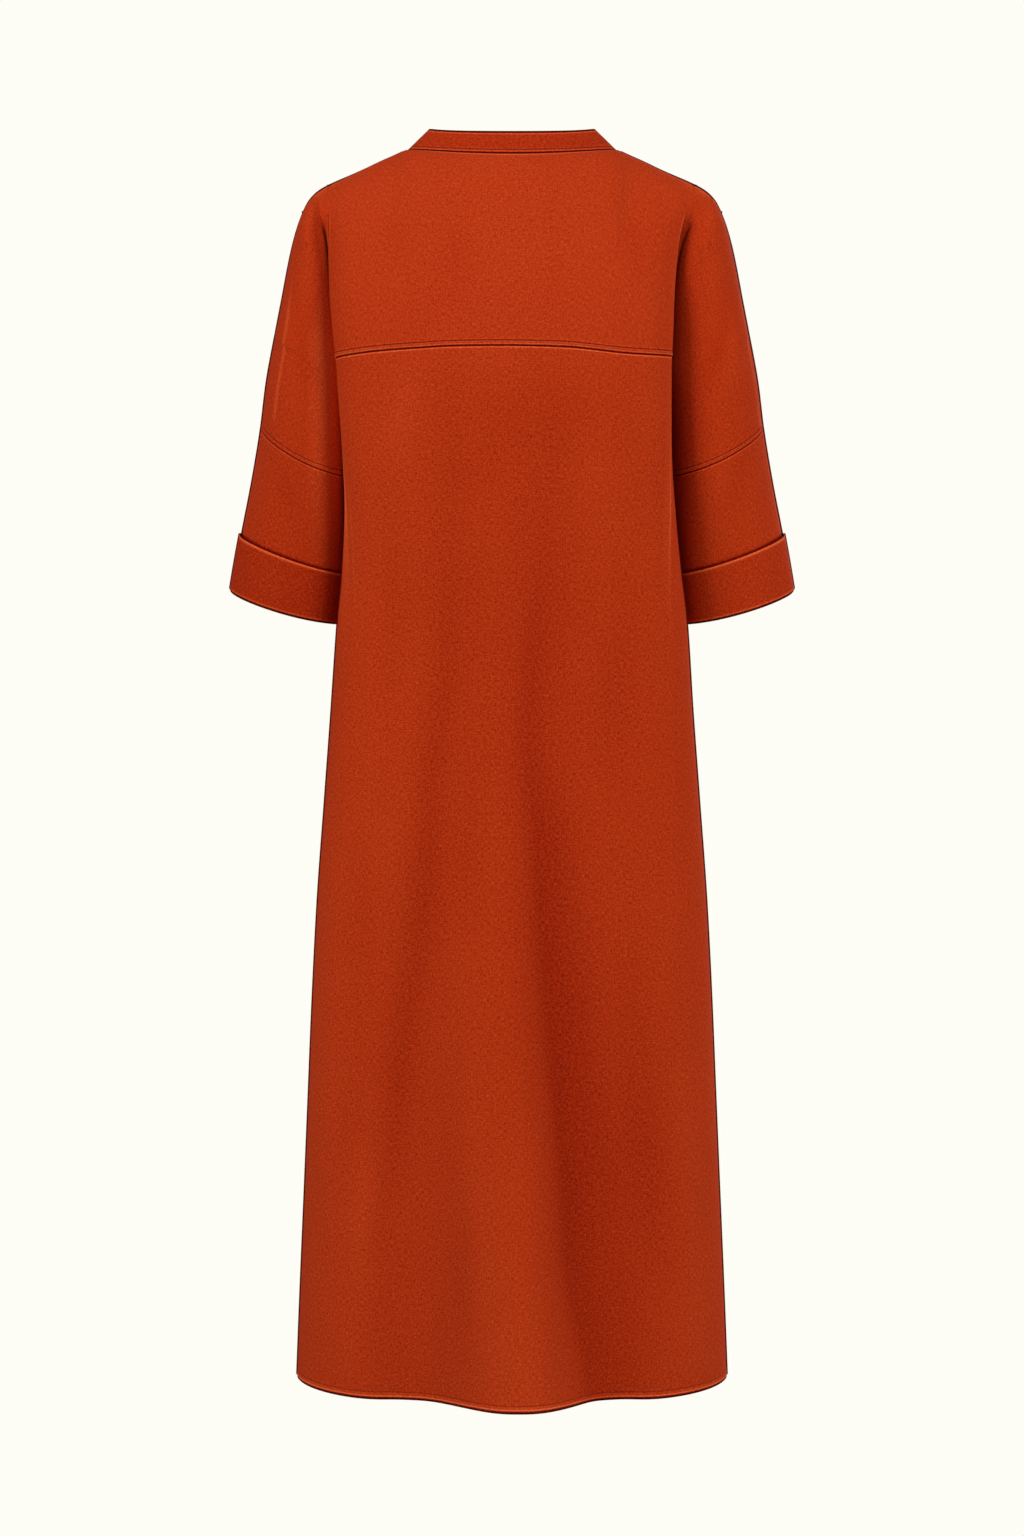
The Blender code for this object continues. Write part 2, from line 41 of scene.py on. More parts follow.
# the back faces +Y, the wearer's left is +X, and the origin is midway between the side-neck points

studio = {
    "paper": (0.984, 0.984, 0.913),
    "floorZ": -1.62,
    "floorSize": 16.0,
    "cameraAt": (0.0, 3.0, -0.587),
    "lens": 74.01,
    "aim": (0.0, 0.0, -0.56),
    "ambient": 0.30,
    "lights": {
        # name: place, size across and up, watts, colour
        "key": ((1.95, 2.0, 0.25), (0.9, 1.1), 49.5, (1.0, 0.985, 0.96)),
        "fill": ((-1.7, 2.3, 0.30), (1.2, 1.8), 30.0, (1.0, 0.99, 0.97)),
        "right": ((-2.6, 0.5, -0.3), (0.8, 2.4), 24.0, (1.0, 0.99, 0.98)),
        "top": ((0.0, 1.1, 1.9), (1.6, 1.0), 17.0, (1.0, 1.0, 1.0)),
        "front": ((-0.8, -2.6, 0.2), (2.0, 2.0), 40.0, (1.0, 0.99, 0.97)),
    },
}


def plainShader(material):
    nodes = material.node_tree.nodes
    return nodes["Principled BSDF"], nodes, material.node_tree.links


def makeStudio():
    paper = bpy.data.materials.new("palePaper")
    paper.use_nodes = True
    nodes, links = paper.node_tree.nodes, paper.node_tree.links
    nodes.clear()
    glow = nodes.new("ShaderNodeEmission")
    glow.inputs["Color"].default_value = (*studio["paper"], 1.0)
    glow.inputs["Strength"].default_value = 1.0
    out = nodes.new("ShaderNodeOutputMaterial")
    links.new(glow.outputs["Emission"], out.inputs["Surface"])

    bpy.ops.mesh.primitive_plane_add(size=studio["floorSize"], location=(0, 0, studio["floorZ"]))
    floor = bpy.context.object
    floor.name = "studioFloor"
    floor.data.materials.append(paper)
    floor.visible_diffuse = False  # the paper is lit by itself and doesn't tint the cloth
    floor.visible_glossy = False
    floor.visible_shadow = False

    world = bpy.data.worlds.new("softRoom")
    bpy.context.scene.world = world
    world.use_nodes = True
    nodes, links = world.node_tree.nodes, world.node_tree.links
    nodes.clear()
    seen = nodes.new("ShaderNodeBackground")
    seen.inputs["Color"].default_value = (*studio["paper"], 1.0)
    soft = nodes.new("ShaderNodeBackground")
    soft.inputs["Color"].default_value = (1.0, 0.99, 0.97, 1.0)
    soft.inputs["Strength"].default_value = studio["ambient"]
    rays = nodes.new("ShaderNodeLightPath")
    mixer = nodes.new("ShaderNodeMixShader")
    out = nodes.new("ShaderNodeOutputWorld")
    links.new(rays.outputs["Is Camera Ray"], mixer.inputs["Fac"])
    links.new(soft.outputs["Background"], mixer.inputs[1])
    links.new(seen.outputs["Background"], mixer.inputs[2])
    links.new(mixer.outputs["Shader"], out.inputs["Surface"])

    for name, (place, size, watts, colour) in studio["lights"].items():
        bpy.ops.object.light_add(type="AREA", location=place)
        lamp = bpy.context.object
        lamp.name = name + "Light"
        lamp.data.shape = "RECTANGLE"
        lamp.data.size, lamp.data.size_y = size
        lamp.data.energy = watts
        lamp.data.color = colour
        aim = Vector(studio["aim"]) - Vector(place)
        lamp.rotation_euler = aim.to_track_quat("-Z", "Y").to_euler()

    bpy.ops.object.camera_add(location=studio["cameraAt"], rotation=(math.pi / 2, 0, math.pi))
    camera = bpy.context.object
    camera.name = "studioCamera"
    camera.data.lens = studio["lens"]
    camera.data.sensor_width = 36
    camera.data.clip_end = 60
    bpy.context.scene.camera = camera
    bpy.context.scene.view_settings.view_transform = "Standard"
    bpy.ops.object.select_all(action="DESELECT")


makeStudio()
print("studio and camera ready")


def table(names, *rows):
    ordered = np.array(sorted(rows), float)
    return dict(zip(names.split(), ordered.T))


# the dress as worn: the half width on each side, the depth of back and front, where the side seam
# lies in depth, and how far the sides tuck in behind the armhole folds
body = table(
    "z left right back front side tuck",
    (0.000, 0.180, 0.176, 0.098, -0.108, -0.008, 1.00),
    (-0.050, 0.1780, 0.1700, 0.099, -0.114, -0.008, 1.00),
    (-0.089, 0.1750, 0.1590, 0.099, -0.118, -0.008, 1.00),
    (-0.134, 0.1730, 0.1535, 0.099, -0.122, -0.008, 1.00),
    (-0.183, 0.1680, 0.1510, 0.098, -0.125, -0.007, 1.00),
    (-0.214, 0.1645, 0.1495, 0.097, -0.127, -0.006, 1.00),
    (-0.260, 0.1630, 0.1510, 0.095, -0.128, -0.002, 0.90),
    (-0.300, 0.1620, 0.1535, 0.093, -0.126, 0.002, 0.72),
    (-0.342, 0.1612, 0.1572, 0.091, -0.122, 0.006, 0.50),
    (-0.400, 0.1622, 0.1615, 0.089, -0.116, 0.010, 0.22),
    (-0.447, 0.1652, 0.1656, 0.088, -0.112, 0.012, 0.06),
    (-0.522, 0.1700, 0.1700, 0.089, -0.112, 0.009, 0.00),
    (-0.617, 0.1770, 0.1770, 0.093, -0.115, 0.007, 0.00),
    (-0.712, 0.1840, 0.1840, 0.097, -0.120, 0.005, 0.00),
    (-0.807, 0.1890, 0.1890, 0.101, -0.126, 0.003, 0.00),
    (-0.902, 0.1930, 0.1930, 0.104, -0.132, 0.001, 0.00),
    (-0.997, 0.1970, 0.1970, 0.107, -0.137, 0.000, 0.00),
    (-1.092, 0.2010, 0.2010, 0.109, -0.141, 0.000, 0.00),
    (-1.170, 0.2040, 0.2040, 0.110, -0.143, 0.000, 0.00),
)

# stations across the tucked section, as shares of the half width and of the depth
tucked = {
    "back": table(
        "station across deep",
        (0, 0.000, 1.000),
        (1, 0.185, 0.998),
        (2, 0.350, 0.990),
        (3, 0.490, 0.970),
        (4, 0.600, 0.945),
        (5, 0.680, 0.915),
        (6, 0.780, 0.860),
        (7, 0.880, 0.775),
        (8, 0.960, 0.650),
        (9, 1.000, 0.480),
        (10, 0.998, 0.340),
        (11, 0.985, 0.200),
        (12, 0.965, 0.080),
        (13, 0.945, 0.000),
    ),
    "front": table(
        "station across deep",
        (0, 0.000, 1.000),
        (1, 0.185, 0.996),
        (2, 0.350, 0.980),
        (3, 0.490, 0.950),
        (4, 0.600, 0.910),
        (5, 0.680, 0.870),
        (6, 0.770, 0.800),
        (7, 0.860, 0.710),
        (8, 0.930, 0.590),
        (9, 0.960, 0.460),
        (10, 0.965, 0.330),
        (11, 0.962, 0.200),
        (12, 0.955, 0.080),
        (13, 0.945, 0.000),
    ),
}

# the shoulder line and then the outer edge of the sleeve, and how open the armhole fold is there
outline = table(
    "z halfWidth seamY fold",
    (0.000, 0.100, -0.006, 0.00),
    (-0.005, 0.111, -0.007, 0.00),
    (-0.011, 0.125, -0.008, 0.00),
    (-0.018, 0.140, -0.009, 0.00),
    (-0.024, 0.154, -0.010, 0.00),
    (-0.030, 0.168, -0.010, 0.00),
    (-0.037, 0.182, -0.011, 0.00),
    (-0.047, 0.193, -0.011, 0.00),
    (-0.066, 0.202, -0.012, 0.00),
    (-0.086, 0.208, -0.012, 0.16),
    (-0.104, 0.2120, -0.0115, 0.32),
    (-0.142, 0.2190, -0.0095, 0.53),
    (-0.180, 0.2260, -0.0070, 0.80),
    (-0.215, 0.2320, -0.0070, 1.00),
)
shoulder = {"halfWidth": outline["halfWidth"][::-1], "z": outline["z"][::-1]}

# how low the yoke seam hangs at each station of the body
yokeLine = table(
    "station left right",
    (0, -0.1982, -0.1982),
    (1, -0.1983, -0.1986),
    (2, -0.1986, -0.1996),
    (3, -0.1998, -0.2014),
    (4, -0.2007, -0.2030),
    (5, -0.2013, -0.2039),
    (6, -0.2021, -0.2043),
    (7, -0.2031, -0.2040),
    (8, -0.2036, -0.2030),
    (9, -0.2033, -0.2014),
)

# the sleeve down from the underarm as slanting rings
sleeve = table(
    "step outerX outerZ innerLeft innerRight innerZ middleY halfDepth drop narrow",
    (0.0, 0.2256, -0.1770, 0.1555, 0.1413, -0.2150, -0.0070, 0.0500, 0.006, 0.70),
    (0.5, 0.2340, -0.2190, 0.1575, 0.1475, -0.2620, -0.0150, 0.0520, 0.009, 0.78),
    (1.0, 0.2400, -0.2610, 0.1575, 0.1505, -0.3060, -0.0240, 0.0530, 0.015, 0.86),
    (2.0, 0.2495, -0.3120, 0.1570, 0.1540, -0.3540, -0.0350, 0.0530, 0.013, 0.94),
    (3.0, 0.2605, -0.3630, 0.1585, 0.1575, -0.3990, -0.0460, 0.0535, 0.010, 1.00),
    (4.0, 0.2705, -0.4130, 0.1615, 0.1615, -0.4440, -0.0560, 0.0540, 0.011, 1.00),
    (4.1, 0.2715, -0.4180, 0.1618, 0.1619, -0.4485, -0.0570, 0.0540, 0.011, 1.00),
)

cut = {
    "hemZ": -1.169,
    "hemSideRise": (0.0065, 6),
    "neckHalfWidth": 0.100,
    "neckSideY": -0.006,
    "neckBack": (0.050, -0.013, 1.5),
    "neckFront": (-0.080, -0.078, 1.8),
    "slitHalfWidth": 0.009,
    "slitEndZ": -0.232,
    "slitPower": 0.8,
    "skirtPower": 2.3,
    "foldPower": 2.5,
    "foldSidePower": 4,
    "topBlendPower": 1.5,
    "capRounding": (1.1, 1.9),
    # above the top of the armhole fold the body runs on into the sleeve
    "foldTopRounding": 0.3,
    "foldTopRise": 0.011,
    "foldTopSpread": 2,
    "foldTopEnds": (0.12, 0.45),
    "sleeveFlat": {"left": 0.008, "right": 0.007},
    "sleeveFlatGrowth": (0.35, 1.3),
    "yokeMiddleZ": -0.198,
    "shoulderEndX": 0.168,
    "foldEndX": 0.186,
    "tipX": 0.1985,
    "neckSteps": 5,
    "foldEdge": 9,
    "bodySteps": 13,
    "sleeveSteps": 8,
    "skirtRowPower": 1.12,
    "sleeveEnd": 3.926,
    "wall": 0.0009,
    "hemWall": 0.0016,
    "hemDepth": 0.0064,
    "sleeveMapShift": 0.9,  # the weave on the sleeves doesn't go on from that of the body
}

# each large fold is a soft trough or ridge down the cloth
folds = {
    "back": (
        table(
            "z x depth width",
            (-0.215, 0.060, -0.001, 0.028),
            (-0.470, 0.068, -0.005, 0.030),
            (-0.620, 0.068, -0.007, 0.032),
            (-0.760, 0.080, -0.010, 0.034),
            (-0.885, 0.086, -0.012, 0.034),
            (-1.000, 0.090, -0.012, 0.034),
            (-1.170, 0.092, -0.012, 0.034),
        ),
        table(
            "z x depth width",
            (-0.215, -0.028, -0.001, 0.024),
            (-0.400, -0.026, -0.004, 0.024),
            (-0.600, -0.020, -0.006, 0.024),
            (-0.740, -0.032, -0.010, 0.028),
            (-0.870, -0.050, -0.013, 0.030),
            (-1.000, -0.068, -0.014, 0.032),
            (-1.170, -0.090, -0.012, 0.034),
        ),
        table(
            "z x depth width",
            (-0.215, 0.014, 0.000, 0.034),
            (-0.470, 0.024, 0.002, 0.038),
            (-0.740, 0.020, 0.012, 0.044),
            (-1.000, 0.008, 0.030, 0.050),
            (-1.170, -0.006, 0.045, 0.053),
        ),
    ),
    "front": (
        table(
            "z x depth width",
            (-0.260, 0.070, -0.001, 0.030),
            (-0.600, 0.062, -0.006, 0.034),
            (-0.900, 0.074, -0.012, 0.036),
            (-1.170, 0.090, -0.016, 0.038),
        ),
        table(
            "z x depth width",
            (-0.300, -0.052, -0.001, 0.028),
            (-0.620, -0.058, -0.007, 0.032),
            (-0.900, -0.068, -0.011, 0.034),
            (-1.170, -0.080, -0.014, 0.036),
        ),
        table(
            "z x depth width",
            (-0.400, 0.004, 0.000, 0.040),
            (-0.800, 0.004, 0.010, 0.042),
            (-1.170, 0.006, 0.022, 0.046),
        ),
    ),
}

# the sharp valley inside each long fold, with its width on the wearer's left and right and its painted
# shade
grooves = {
    "back": (
        table(
            "z x depth left right tone",
            (-0.215, 0.057, 0.0000, 0.016, 0.016, -0.02),
            (-0.400, 0.058, -0.0008, 0.016, 0.016, -0.06),
            (-0.500, 0.061, -0.0014, 0.015, 0.016, -0.09),
            (-0.590, 0.073, -0.0020, 0.014, 0.016, -0.13),
            (-0.660, 0.076, -0.0024, 0.014, 0.016, -0.14),
            (-0.750, 0.086, -0.0026, 0.014, 0.016, -0.15),
            (-0.850, 0.099, -0.0024, 0.014, 0.016, -0.13),
            (-0.955, 0.110, -0.0016, 0.014, 0.016, -0.08),
            (-1.040, 0.122, -0.0006, 0.014, 0.016, -0.03),
            (-1.170, 0.130, 0.0000, 0.014, 0.016, 0.00),
        ),
        table(
            "z x depth left right tone",
            (-0.330, -0.028, 0.0000, 0.010, 0.016, 0.00),
            (-0.400, -0.027, -0.0006, 0.010, 0.018, -0.04),
            (-0.480, -0.017, -0.0012, 0.010, 0.020, -0.10),
            (-0.555, -0.014, -0.0016, 0.010, 0.022, -0.13),
            (-0.650, -0.023, -0.0022, 0.010, 0.026, -0.17),
            (-0.770, -0.032, -0.0028, 0.010, 0.028, -0.19),
            (-0.865, -0.041, -0.0034, 0.010, 0.030, -0.20),
            (-0.966, -0.0505, -0.0040, 0.010, 0.032, -0.21),
            (-1.046, -0.054, -0.0040, 0.010, 0.034, -0.19),
            (-1.125, -0.069, -0.0034, 0.012, 0.036, -0.16),
            (-1.170, -0.074, -0.0030, 0.012, 0.036, -0.13),
        ),
        # painted shade lies across the middle of the skirt between the folds, fading towards its sides
        table(
            "z x depth left right tone",
            (-0.215, -0.015, 0.0, 0.09, 0.13, -0.02),
            (-0.270, -0.015, 0.0, 0.09, 0.13, -0.10),
            (-0.700, -0.020, 0.0, 0.09, 0.14, -0.10),
            (-1.170, -0.050, 0.0, 0.08, 0.16, -0.04),
        ),
    ),
    "front": (
        table(
            "z x depth left right tone",
            (-0.420, 0.064, 0.0000, 0.014, 0.018, 0.00),
            (-0.640, 0.068, -0.0018, 0.014, 0.018, -0.10),
            (-0.860, 0.080, -0.0030, 0.014, 0.018, -0.17),
            (-1.050, 0.092, -0.0034, 0.014, 0.018, -0.20),
            (-1.170, 0.098, -0.0028, 0.014, 0.018, -0.15),
        ),
        table(
            "z x depth left right tone",
            (-0.500, -0.056, 0.0000, 0.018, 0.012, 0.00),
            (-0.700, -0.062, -0.0016, 0.020, 0.012, -0.09),
            (-0.900, -0.070, -0.0028, 0.022, 0.012, -0.15),
            (-1.080, -0.082, -0.0030, 0.024, 0.012, -0.16),
            (-1.170, -0.088, -0.0024, 0.024, 0.012, -0.12),
        ),
    ),
}

# lighter creases laid over the folds: from (x1, z1) to (x2, z2), bowed sideways, fading at both ends
creases = {
    "back": table(
        "x1 z1 x2 z2 bow depth width",
        (0.050, -0.050, 0.056, -0.190, 0.003, -0.0011, 0.015),
        (-0.038, -0.110, -0.036, -0.196, -0.002, -0.0008, 0.010),
        (-0.098, -0.040, -0.118, -0.160, -0.006, -0.0013, 0.012),
        (0.098, -0.060, 0.118, -0.170, 0.006, -0.0009, 0.016),
        (-0.128, -0.120, -0.136, -0.330, 0.004, 0.0010, 0.012),
        (0.096, -0.215, 0.100, -0.360, 0.004, 0.0014, 0.013),
        (0.022, -0.215, 0.026, -0.350, -0.003, -0.0010, 0.014),
        (-0.080, -0.230, -0.086, -0.420, 0.006, 0.0012, 0.018),
        (0.116, -0.300, 0.124, -0.640, -0.008, -0.0016, 0.016),
        (-0.112, -0.380, -0.100, -0.620, 0.007, -0.0015, 0.017),
        (0.030, -0.520, 0.040, -0.760, 0.004, -0.0014, 0.014),
        (-0.112, -0.740, -0.140, -1.110, 0.006, -0.0030, 0.026),
        (0.140, -0.640, 0.158, -1.000, -0.006, -0.0022, 0.020),
        (0.128, -0.930, 0.150, -1.165, 0.004, 0.0020, 0.018),
        (-0.162, -0.860, -0.176, -1.165, 0.003, 0.0022, 0.018),
        (0.048, -0.900, 0.046, -1.160, 0.003, -0.0016, 0.013),
    ),
    "front": table(
        "x1 z1 x2 z2 bow depth width",
        (0.072, -0.100, 0.064, -0.240, 0.004, -0.0012, 0.016),
        (-0.070, -0.090, -0.060, -0.260, -0.004, -0.0012, 0.016),
        (-0.118, -0.130, -0.126, -0.340, 0.004, 0.0011, 0.013),
        (0.110, -0.230, 0.118, -0.520, -0.006, -0.0015, 0.016),
        (-0.108, -0.420, -0.118, -0.700, 0.006, -0.0016, 0.017),
        (0.034, -0.480, 0.044, -0.760, -0.004, -0.0013, 0.014),
        (0.128, -0.720, 0.150, -1.100, 0.006, -0.0028, 0.024),
        (-0.132, -0.700, -0.152, -1.060, -0.005, -0.0026, 0.022),
        (-0.036, -0.900, -0.040, -1.160, 0.003, -0.0018, 0.014),
    ),
    # on the sleeves x counts out from the middle, and the two sides differ
    "leftSleeveBack": table(
        "x1 z1 x2 z2 bow depth width",
        (0.190, -0.075, 0.181, -0.190, -0.004, 0.0012, 0.009),
        (0.205, -0.110, 0.188, -0.235, 0.003, -0.0010, 0.008),
        (0.224, -0.290, 0.196, -0.372, 0.004, -0.0011, 0.010),
        (0.196, -0.255, 0.182, -0.345, -0.003, 0.0010, 0.009),
    ),
    "rightSleeveBack": table(
        "x1 z1 x2 z2 bow depth width",
        (0.206, -0.120, 0.176, -0.252, 0.006, -0.0018, 0.010),
        (0.214, -0.135, 0.190, -0.262, 0.005, 0.0015, 0.009),
        (0.198, -0.070, 0.184, -0.150, 0.003, 0.0010, 0.008),
        (0.230, -0.280, 0.205, -0.370, -0.004, -0.0012, 0.010),
        (0.200, -0.262, 0.188, -0.350, 0.003, 0.0011, 0.009),
    ),
    "sleeveFront": table(
        "x1 z1 x2 z2 bow depth width",
        (0.205, -0.115, 0.180, -0.230, 0.005, -0.0014, 0.010),
        (0.216, -0.150, 0.196, -0.255, 0.004, 0.0012, 0.009),
        (0.226, -0.290, 0.200, -0.375, 0.004, -0.0012, 0.010),
    ),
}

creaseForm = {
    "endPower": 0.8,
    "least": 0.75,
    "swell": 0.25,
    "waves": 2.2,
    "shift": 40,
    "narrow": 0.8,
    "widen": 0.5,
    "facing": (1.6, 0.25),  # they fade where the cloth turns to the side
    "groovePower": 1.6,
}

# dip is how far the cloth sinks at a seam and width how wide that is, welt is how high the pressed
# allowance stands, and stitchAt is how far off the topstitching runs
# core is half the width of the dark line of painted shade in a seam, and the flank, a paler line of painted
# highlight, runs beside it
seams = {
    "yoke": {
        "dip": 0.0011, "width": 0.0009, "welt": 0.00045, "stitchAt": 0.0048,
        "core": 0.00078, "flankAt": 0.00155, "flank": 0.00045, "dark": 0.88, "pale": 0.8,
    },
    "sleeve": {
        "dip": 0.0010, "width": 0.0009, "welt": 0.00035, "stitchAt": 0.0048,
        "core": 0.00066, "flankAt": 0.0014, "flank": 0.00045, "dark": 0.75, "pale": 0.45,
    },
    "neck": {
        "dip": 0.0001, "width": 0.0010,
        "core": 0.0040, "flankAt": 0.0066, "flank": 0.0016, "dark": 1.0, "pale": 0.9,
    },
    "plain": {
        "dip": 0.0006, "width": 0.0008,
        "core": 0.0007, "flankAt": 0.0015, "flank": 0.0005, "dark": 0.6, "pale": 0.3,
    },
    # the side seams, the outer seams of the sleeves and the shoulder seams are pressed to a narrow ridge,
    # which painted shade darkens into a dark outline
    "edge": {
        "dip": -0.0022, "width": 0.0015, "press": 0.0008, "pressWidth": 0.0075,
        "core": 0.0018, "flankAt": 0.0026, "flank": 0.0006, "spread": 9.0, "dark": 1.0, "pale": 0.55,
    },
    "shoulder": {
        "dip": -0.0021, "width": 0.0016,
        "core": 0.0022, "flankAt": 0.0031, "flank": 0.0007, "spread": 20.0, "dark": 1.0, "pale": 0.45,
    },
    # the hem's edge: a dark line of painted shade with painted highlight above it
    "hem": {"core": 0.0018, "flankAt": 0.0028, "flank": 0.0007, "dark": 1.0, "pale": 1.0},
}

# how the cloth stands at a sewn line: past the stitches, at the fold and under each stitch
sewnForm = {
    "dipPower": 1.4,
    "weltPast": 0.0008,
    "weltSoft": 0.0006,
    "weltStart": 0.0012,
    "pull": 0.0003,
    "pullWidth": 0.0009,
    "hemPuff": 0.00035,
}

# the shoulder's ridge gets lower towards the sleeve's: by how much, from which station and over how many
shoulderFade = (0.33, 12, 7)

# painted shading is added to the cloth's colour: 1 is the painted highlight of the palest pressed edge and
# -1 the painted shade of the deepest line
shades = {
    "linePower": 6,
    # painted shade in the furrow along each row of stitches and painted highlight beside it, half as strong
    # at the hem
    "stitchDark": 0.72,
    "stitchWidth": 0.00058,
    "stitchPale": 0.3,
    "stitchPaleAt": 0.0010,
    "stitchPaleWidth": 0.0004,
    "hemStitch": 0.5,
    "valley": 2.5,  # painted shade for each metre that a large fold dips, and painted highlight for each metre that it rises
    # painted shade in the creases and painted highlight on their ridges, for each metre that the cloth
    # moves
    "crease": 45.0,
    "creaseRange": (-0.12, 0.08),
    # painted highlight towards both sides of the skirt, lower down
    "sidePale": 0.06,
    "sideFrom": 0.62,
    "sideDown": (0.55, 0.3),
    # painted shade down the sleeve: at the cap, at the elbow and at the cuff, with the heights from the
    # cuff up
    "sleeve": {"left": (0.0, -0.05, -0.08), "right": (0.0, -0.06, -0.02)},
    "sleeveZ": (-0.37, -0.25, -0.10, -0.05),
    "sleeveX": (0.160, 0.012),
    # the painted shadow that each cuff casts on the sleeve just above it
    "underCuff": -0.75,
    "underCuffHeight": 0.0019,
    "underCuffFrom": (-0.002, -0.004),
    # a painted highlight along the pressed overarm seam
    "overarmPale": 0.50,
    "overarmWidth": 0.12,
    "overarmEnds": (0.01, 0.04),
}

# the armhole fold's painted shading, with places across it in stations of the body and heights counted
# downwards
armhole = {
    "opened": 2.2,
    "edgePale": {"left": 0.22, "right": 0.45},  # painted highlight on the turned edge of the body beside the fold
    "edgeAt": (9.05, 0.13),
    # a fainter, wider painted highlight leading up to that edge
    "edgeSoft": {"left": 0.05, "right": 0.16},
    "edgeSoftRun": (8.0, 9.1),
    "deep": {"left": -1.0, "right": 0.05},  # inside the fold: painted light where below zero, painted shade where above
    "deepFrom": (9.5, 0.5),
    "deepLow": (-0.46, 0.2, 0.3),  # a height counted upwards
    "deepTop": (0.062, 0.025, 0.1),
    "reach": {"left": 3.4, "right": 1.0},  # how far that goes on into the sleeve
    "reachFade": 0.8,
    "reachTop": (0.085, 0.10, 0.4),
    "topLine": {"left": 0.55, "right": 0.9},  # a thin line of painted shade where the fold starts, with painted highlight beside it
    "topLineAt": (9.36, 0.20),
    "topLinePale": (0.5, 8.98, 0.14),
    "topLineStart": (0.062, 0.008),
    "topLineEnd": (-0.120, 0.025),  # a height counted upwards
}

# how the body is smoothed on into the sleeve above the fold, after some rounds on all the cloth
smoothing = {
    "firstRounds": 6,
    "rounds": 26,
    "pull": 0.5,
    "z": (-0.108, 0.03),
    "stations": 3.4,
    "rows": (0.045, 0.1),
    "least": 0.02,
    "shortest": 2e-4,
}

# the pressed line of the overarm seam on the back of each sleeve
overarm = {
    "left": table("z station", (-0.263, 5.75), (-0.199, 5.40), (-0.166, 5.20), (-0.120, 5.10)),
    "right": table("z station", (-0.272, 7.07), (-0.200, 6.88), (-0.142, 6.70), (-0.110, 6.60)),
}


def at(columns, name, where):
    xs = next(iter(columns.values()))
    ys = columns[name]
    where = np.clip(where, xs[0], xs[-1])
    i = np.clip(np.searchsorted(xs, where, side="right") - 1, 0, len(xs) - 2)
    slopes = np.diff(ys) / np.diff(xs)
    before, after = slopes[:-1], slopes[1:]
    together = np.where(before * after > 0, before + after, 1.0)
    inner = np.where(before * after > 0, 2 * before * after / together, 0.0)
    tangents = np.concatenate([slopes[:1], inner, slopes[-1:]])
    step = xs[i + 1] - xs[i]
    t = (where - xs[i]) / step
    return (
        (1 + 2 * t) * (1 - t) ** 2 * ys[i]
        + t * (1 - t) ** 2 * step * tangents[i]
        + t * t * (3 - 2 * t) * ys[i + 1]
        - t * t * (1 - t) * step * tangents[i + 1]
    )


def mix(a, b, share):
    return a + (b - a) * share


def foldDepth(face, x, z):
    moved = 0.0
    for fold in folds[face]:
        across = abs(x - at(fold, "x", z)) / at(fold, "width", z)
        moved = moved + at(fold, "depth", z) * np.exp(-(across ** cut["foldPower"]))
    return moved


def slitHalfWidth(z):
    share = (z - cut["slitEndZ"]) / (cut["neckFront"][1] - cut["slitEndZ"])
    return cut["slitHalfWidth"] * np.maximum(share, 0.0) ** cut["slitPower"]


def bodySection(side, face, station, z):
    width, seam = at(body, side, z), at(body, "side", z)
    depth, tuck = at(body, face, z) - seam, at(body, "tuck", z)
    opened = np.where(z > outline["z"][0], at(outline, "fold", z), 1.0)
    across, deep = at(tucked[face], "across", station), at(tucked[face], "deep", station)
    edgeAcross = at(tucked[face], "across", cut["foldEdge"])
    edgeDeep = at(tucked[face], "deep", cut["foldEdge"])
    inFold = station > cut["foldEdge"]
    across = np.where(inFold, mix(edgeAcross, across, opened), across)
    deep = np.where(inFold, mix(edgeDeep, deep, opened), deep)
    roundAcross = np.sin(math.pi / 2 * station / cut["bodySteps"])
    power = cut["skirtPower"]
    roundDeep = np.maximum(1 - roundAcross**power, 0.0) ** (1 / power)
    x = width * mix(roundAcross, across, tuck)
    y = seam + depth * mix(roundDeep, deep, tuck)
    sign = 1 if side == "left" else -1
    flat = np.maximum(1 - (x / width) ** cut["foldSidePower"], 0.0)
    y = y + foldDepth(face, sign * x, z) * flat * (1 if face == "back" else -1)
    if face == "front":
        x = x + np.where(z > cut["slitEndZ"], slitHalfWidth(z) * (1 - station / cut["bodySteps"]), 0.0)
    return x, y


def neckBase(face, share):
    angle = math.pi / 2 * share
    yEnd, zEnd, power = cut["neckBack" if face == "back" else "neckFront"]
    x = cut["neckHalfWidth"] * np.sin(angle)
    y = cut["neckSideY"] + (yEnd - cut["neckSideY"]) * np.cos(angle)
    z = zEnd * np.maximum(np.cos(angle), 0.0) ** power
    if face == "front":
        x = np.minimum(x + cut["slitHalfWidth"] * (1 - share), cut["neckHalfWidth"])
    return x, y, z


def topPoint(face, station):
    neckSteps, foldEdge, bodySteps = cut["neckSteps"], cut["foldEdge"], cut["bodySteps"]
    neckX, neckY, neckZ = neckBase(face, np.clip(station / neckSteps, 0, 1))
    places = (neckSteps, foldEdge, bodySteps, bodySteps + cut["sleeveSteps"])
    xs = (cut["neckHalfWidth"], cut["shoulderEndX"], cut["foldEndX"], cut["tipX"])
    x = np.interp(station, places, xs)
    z = at(shoulder, "z", x)
    y = at(outline, "seamY", z)
    onNeck = station <= neckSteps
    return np.where(onNeck, neckX, x), np.where(onNeck, neckY, y), np.where(onNeck, neckZ, z)


def yokeLineZ(side, station):
    share = (station - cut["foldEdge"]) / (cut["bodySteps"] - cut["foldEdge"])
    inFold = mix(yokeLine[side][-1], sleeve["innerZ"][0], share)
    return np.where(station <= cut["foldEdge"], at(yokeLine, side, station), inFold)


def sleeveFlat(side, share, step):
    # the sleeve's cloth lies flat between its inner side and its middle
    start, growth = cut["sleeveFlatGrowth"]
    full = cut["sleeveFlat"][side] * np.minimum(start + growth * step, 1.0)
    return np.where(share < 0.5, full * np.sin(2 * math.pi * share) ** 2, 0.0)


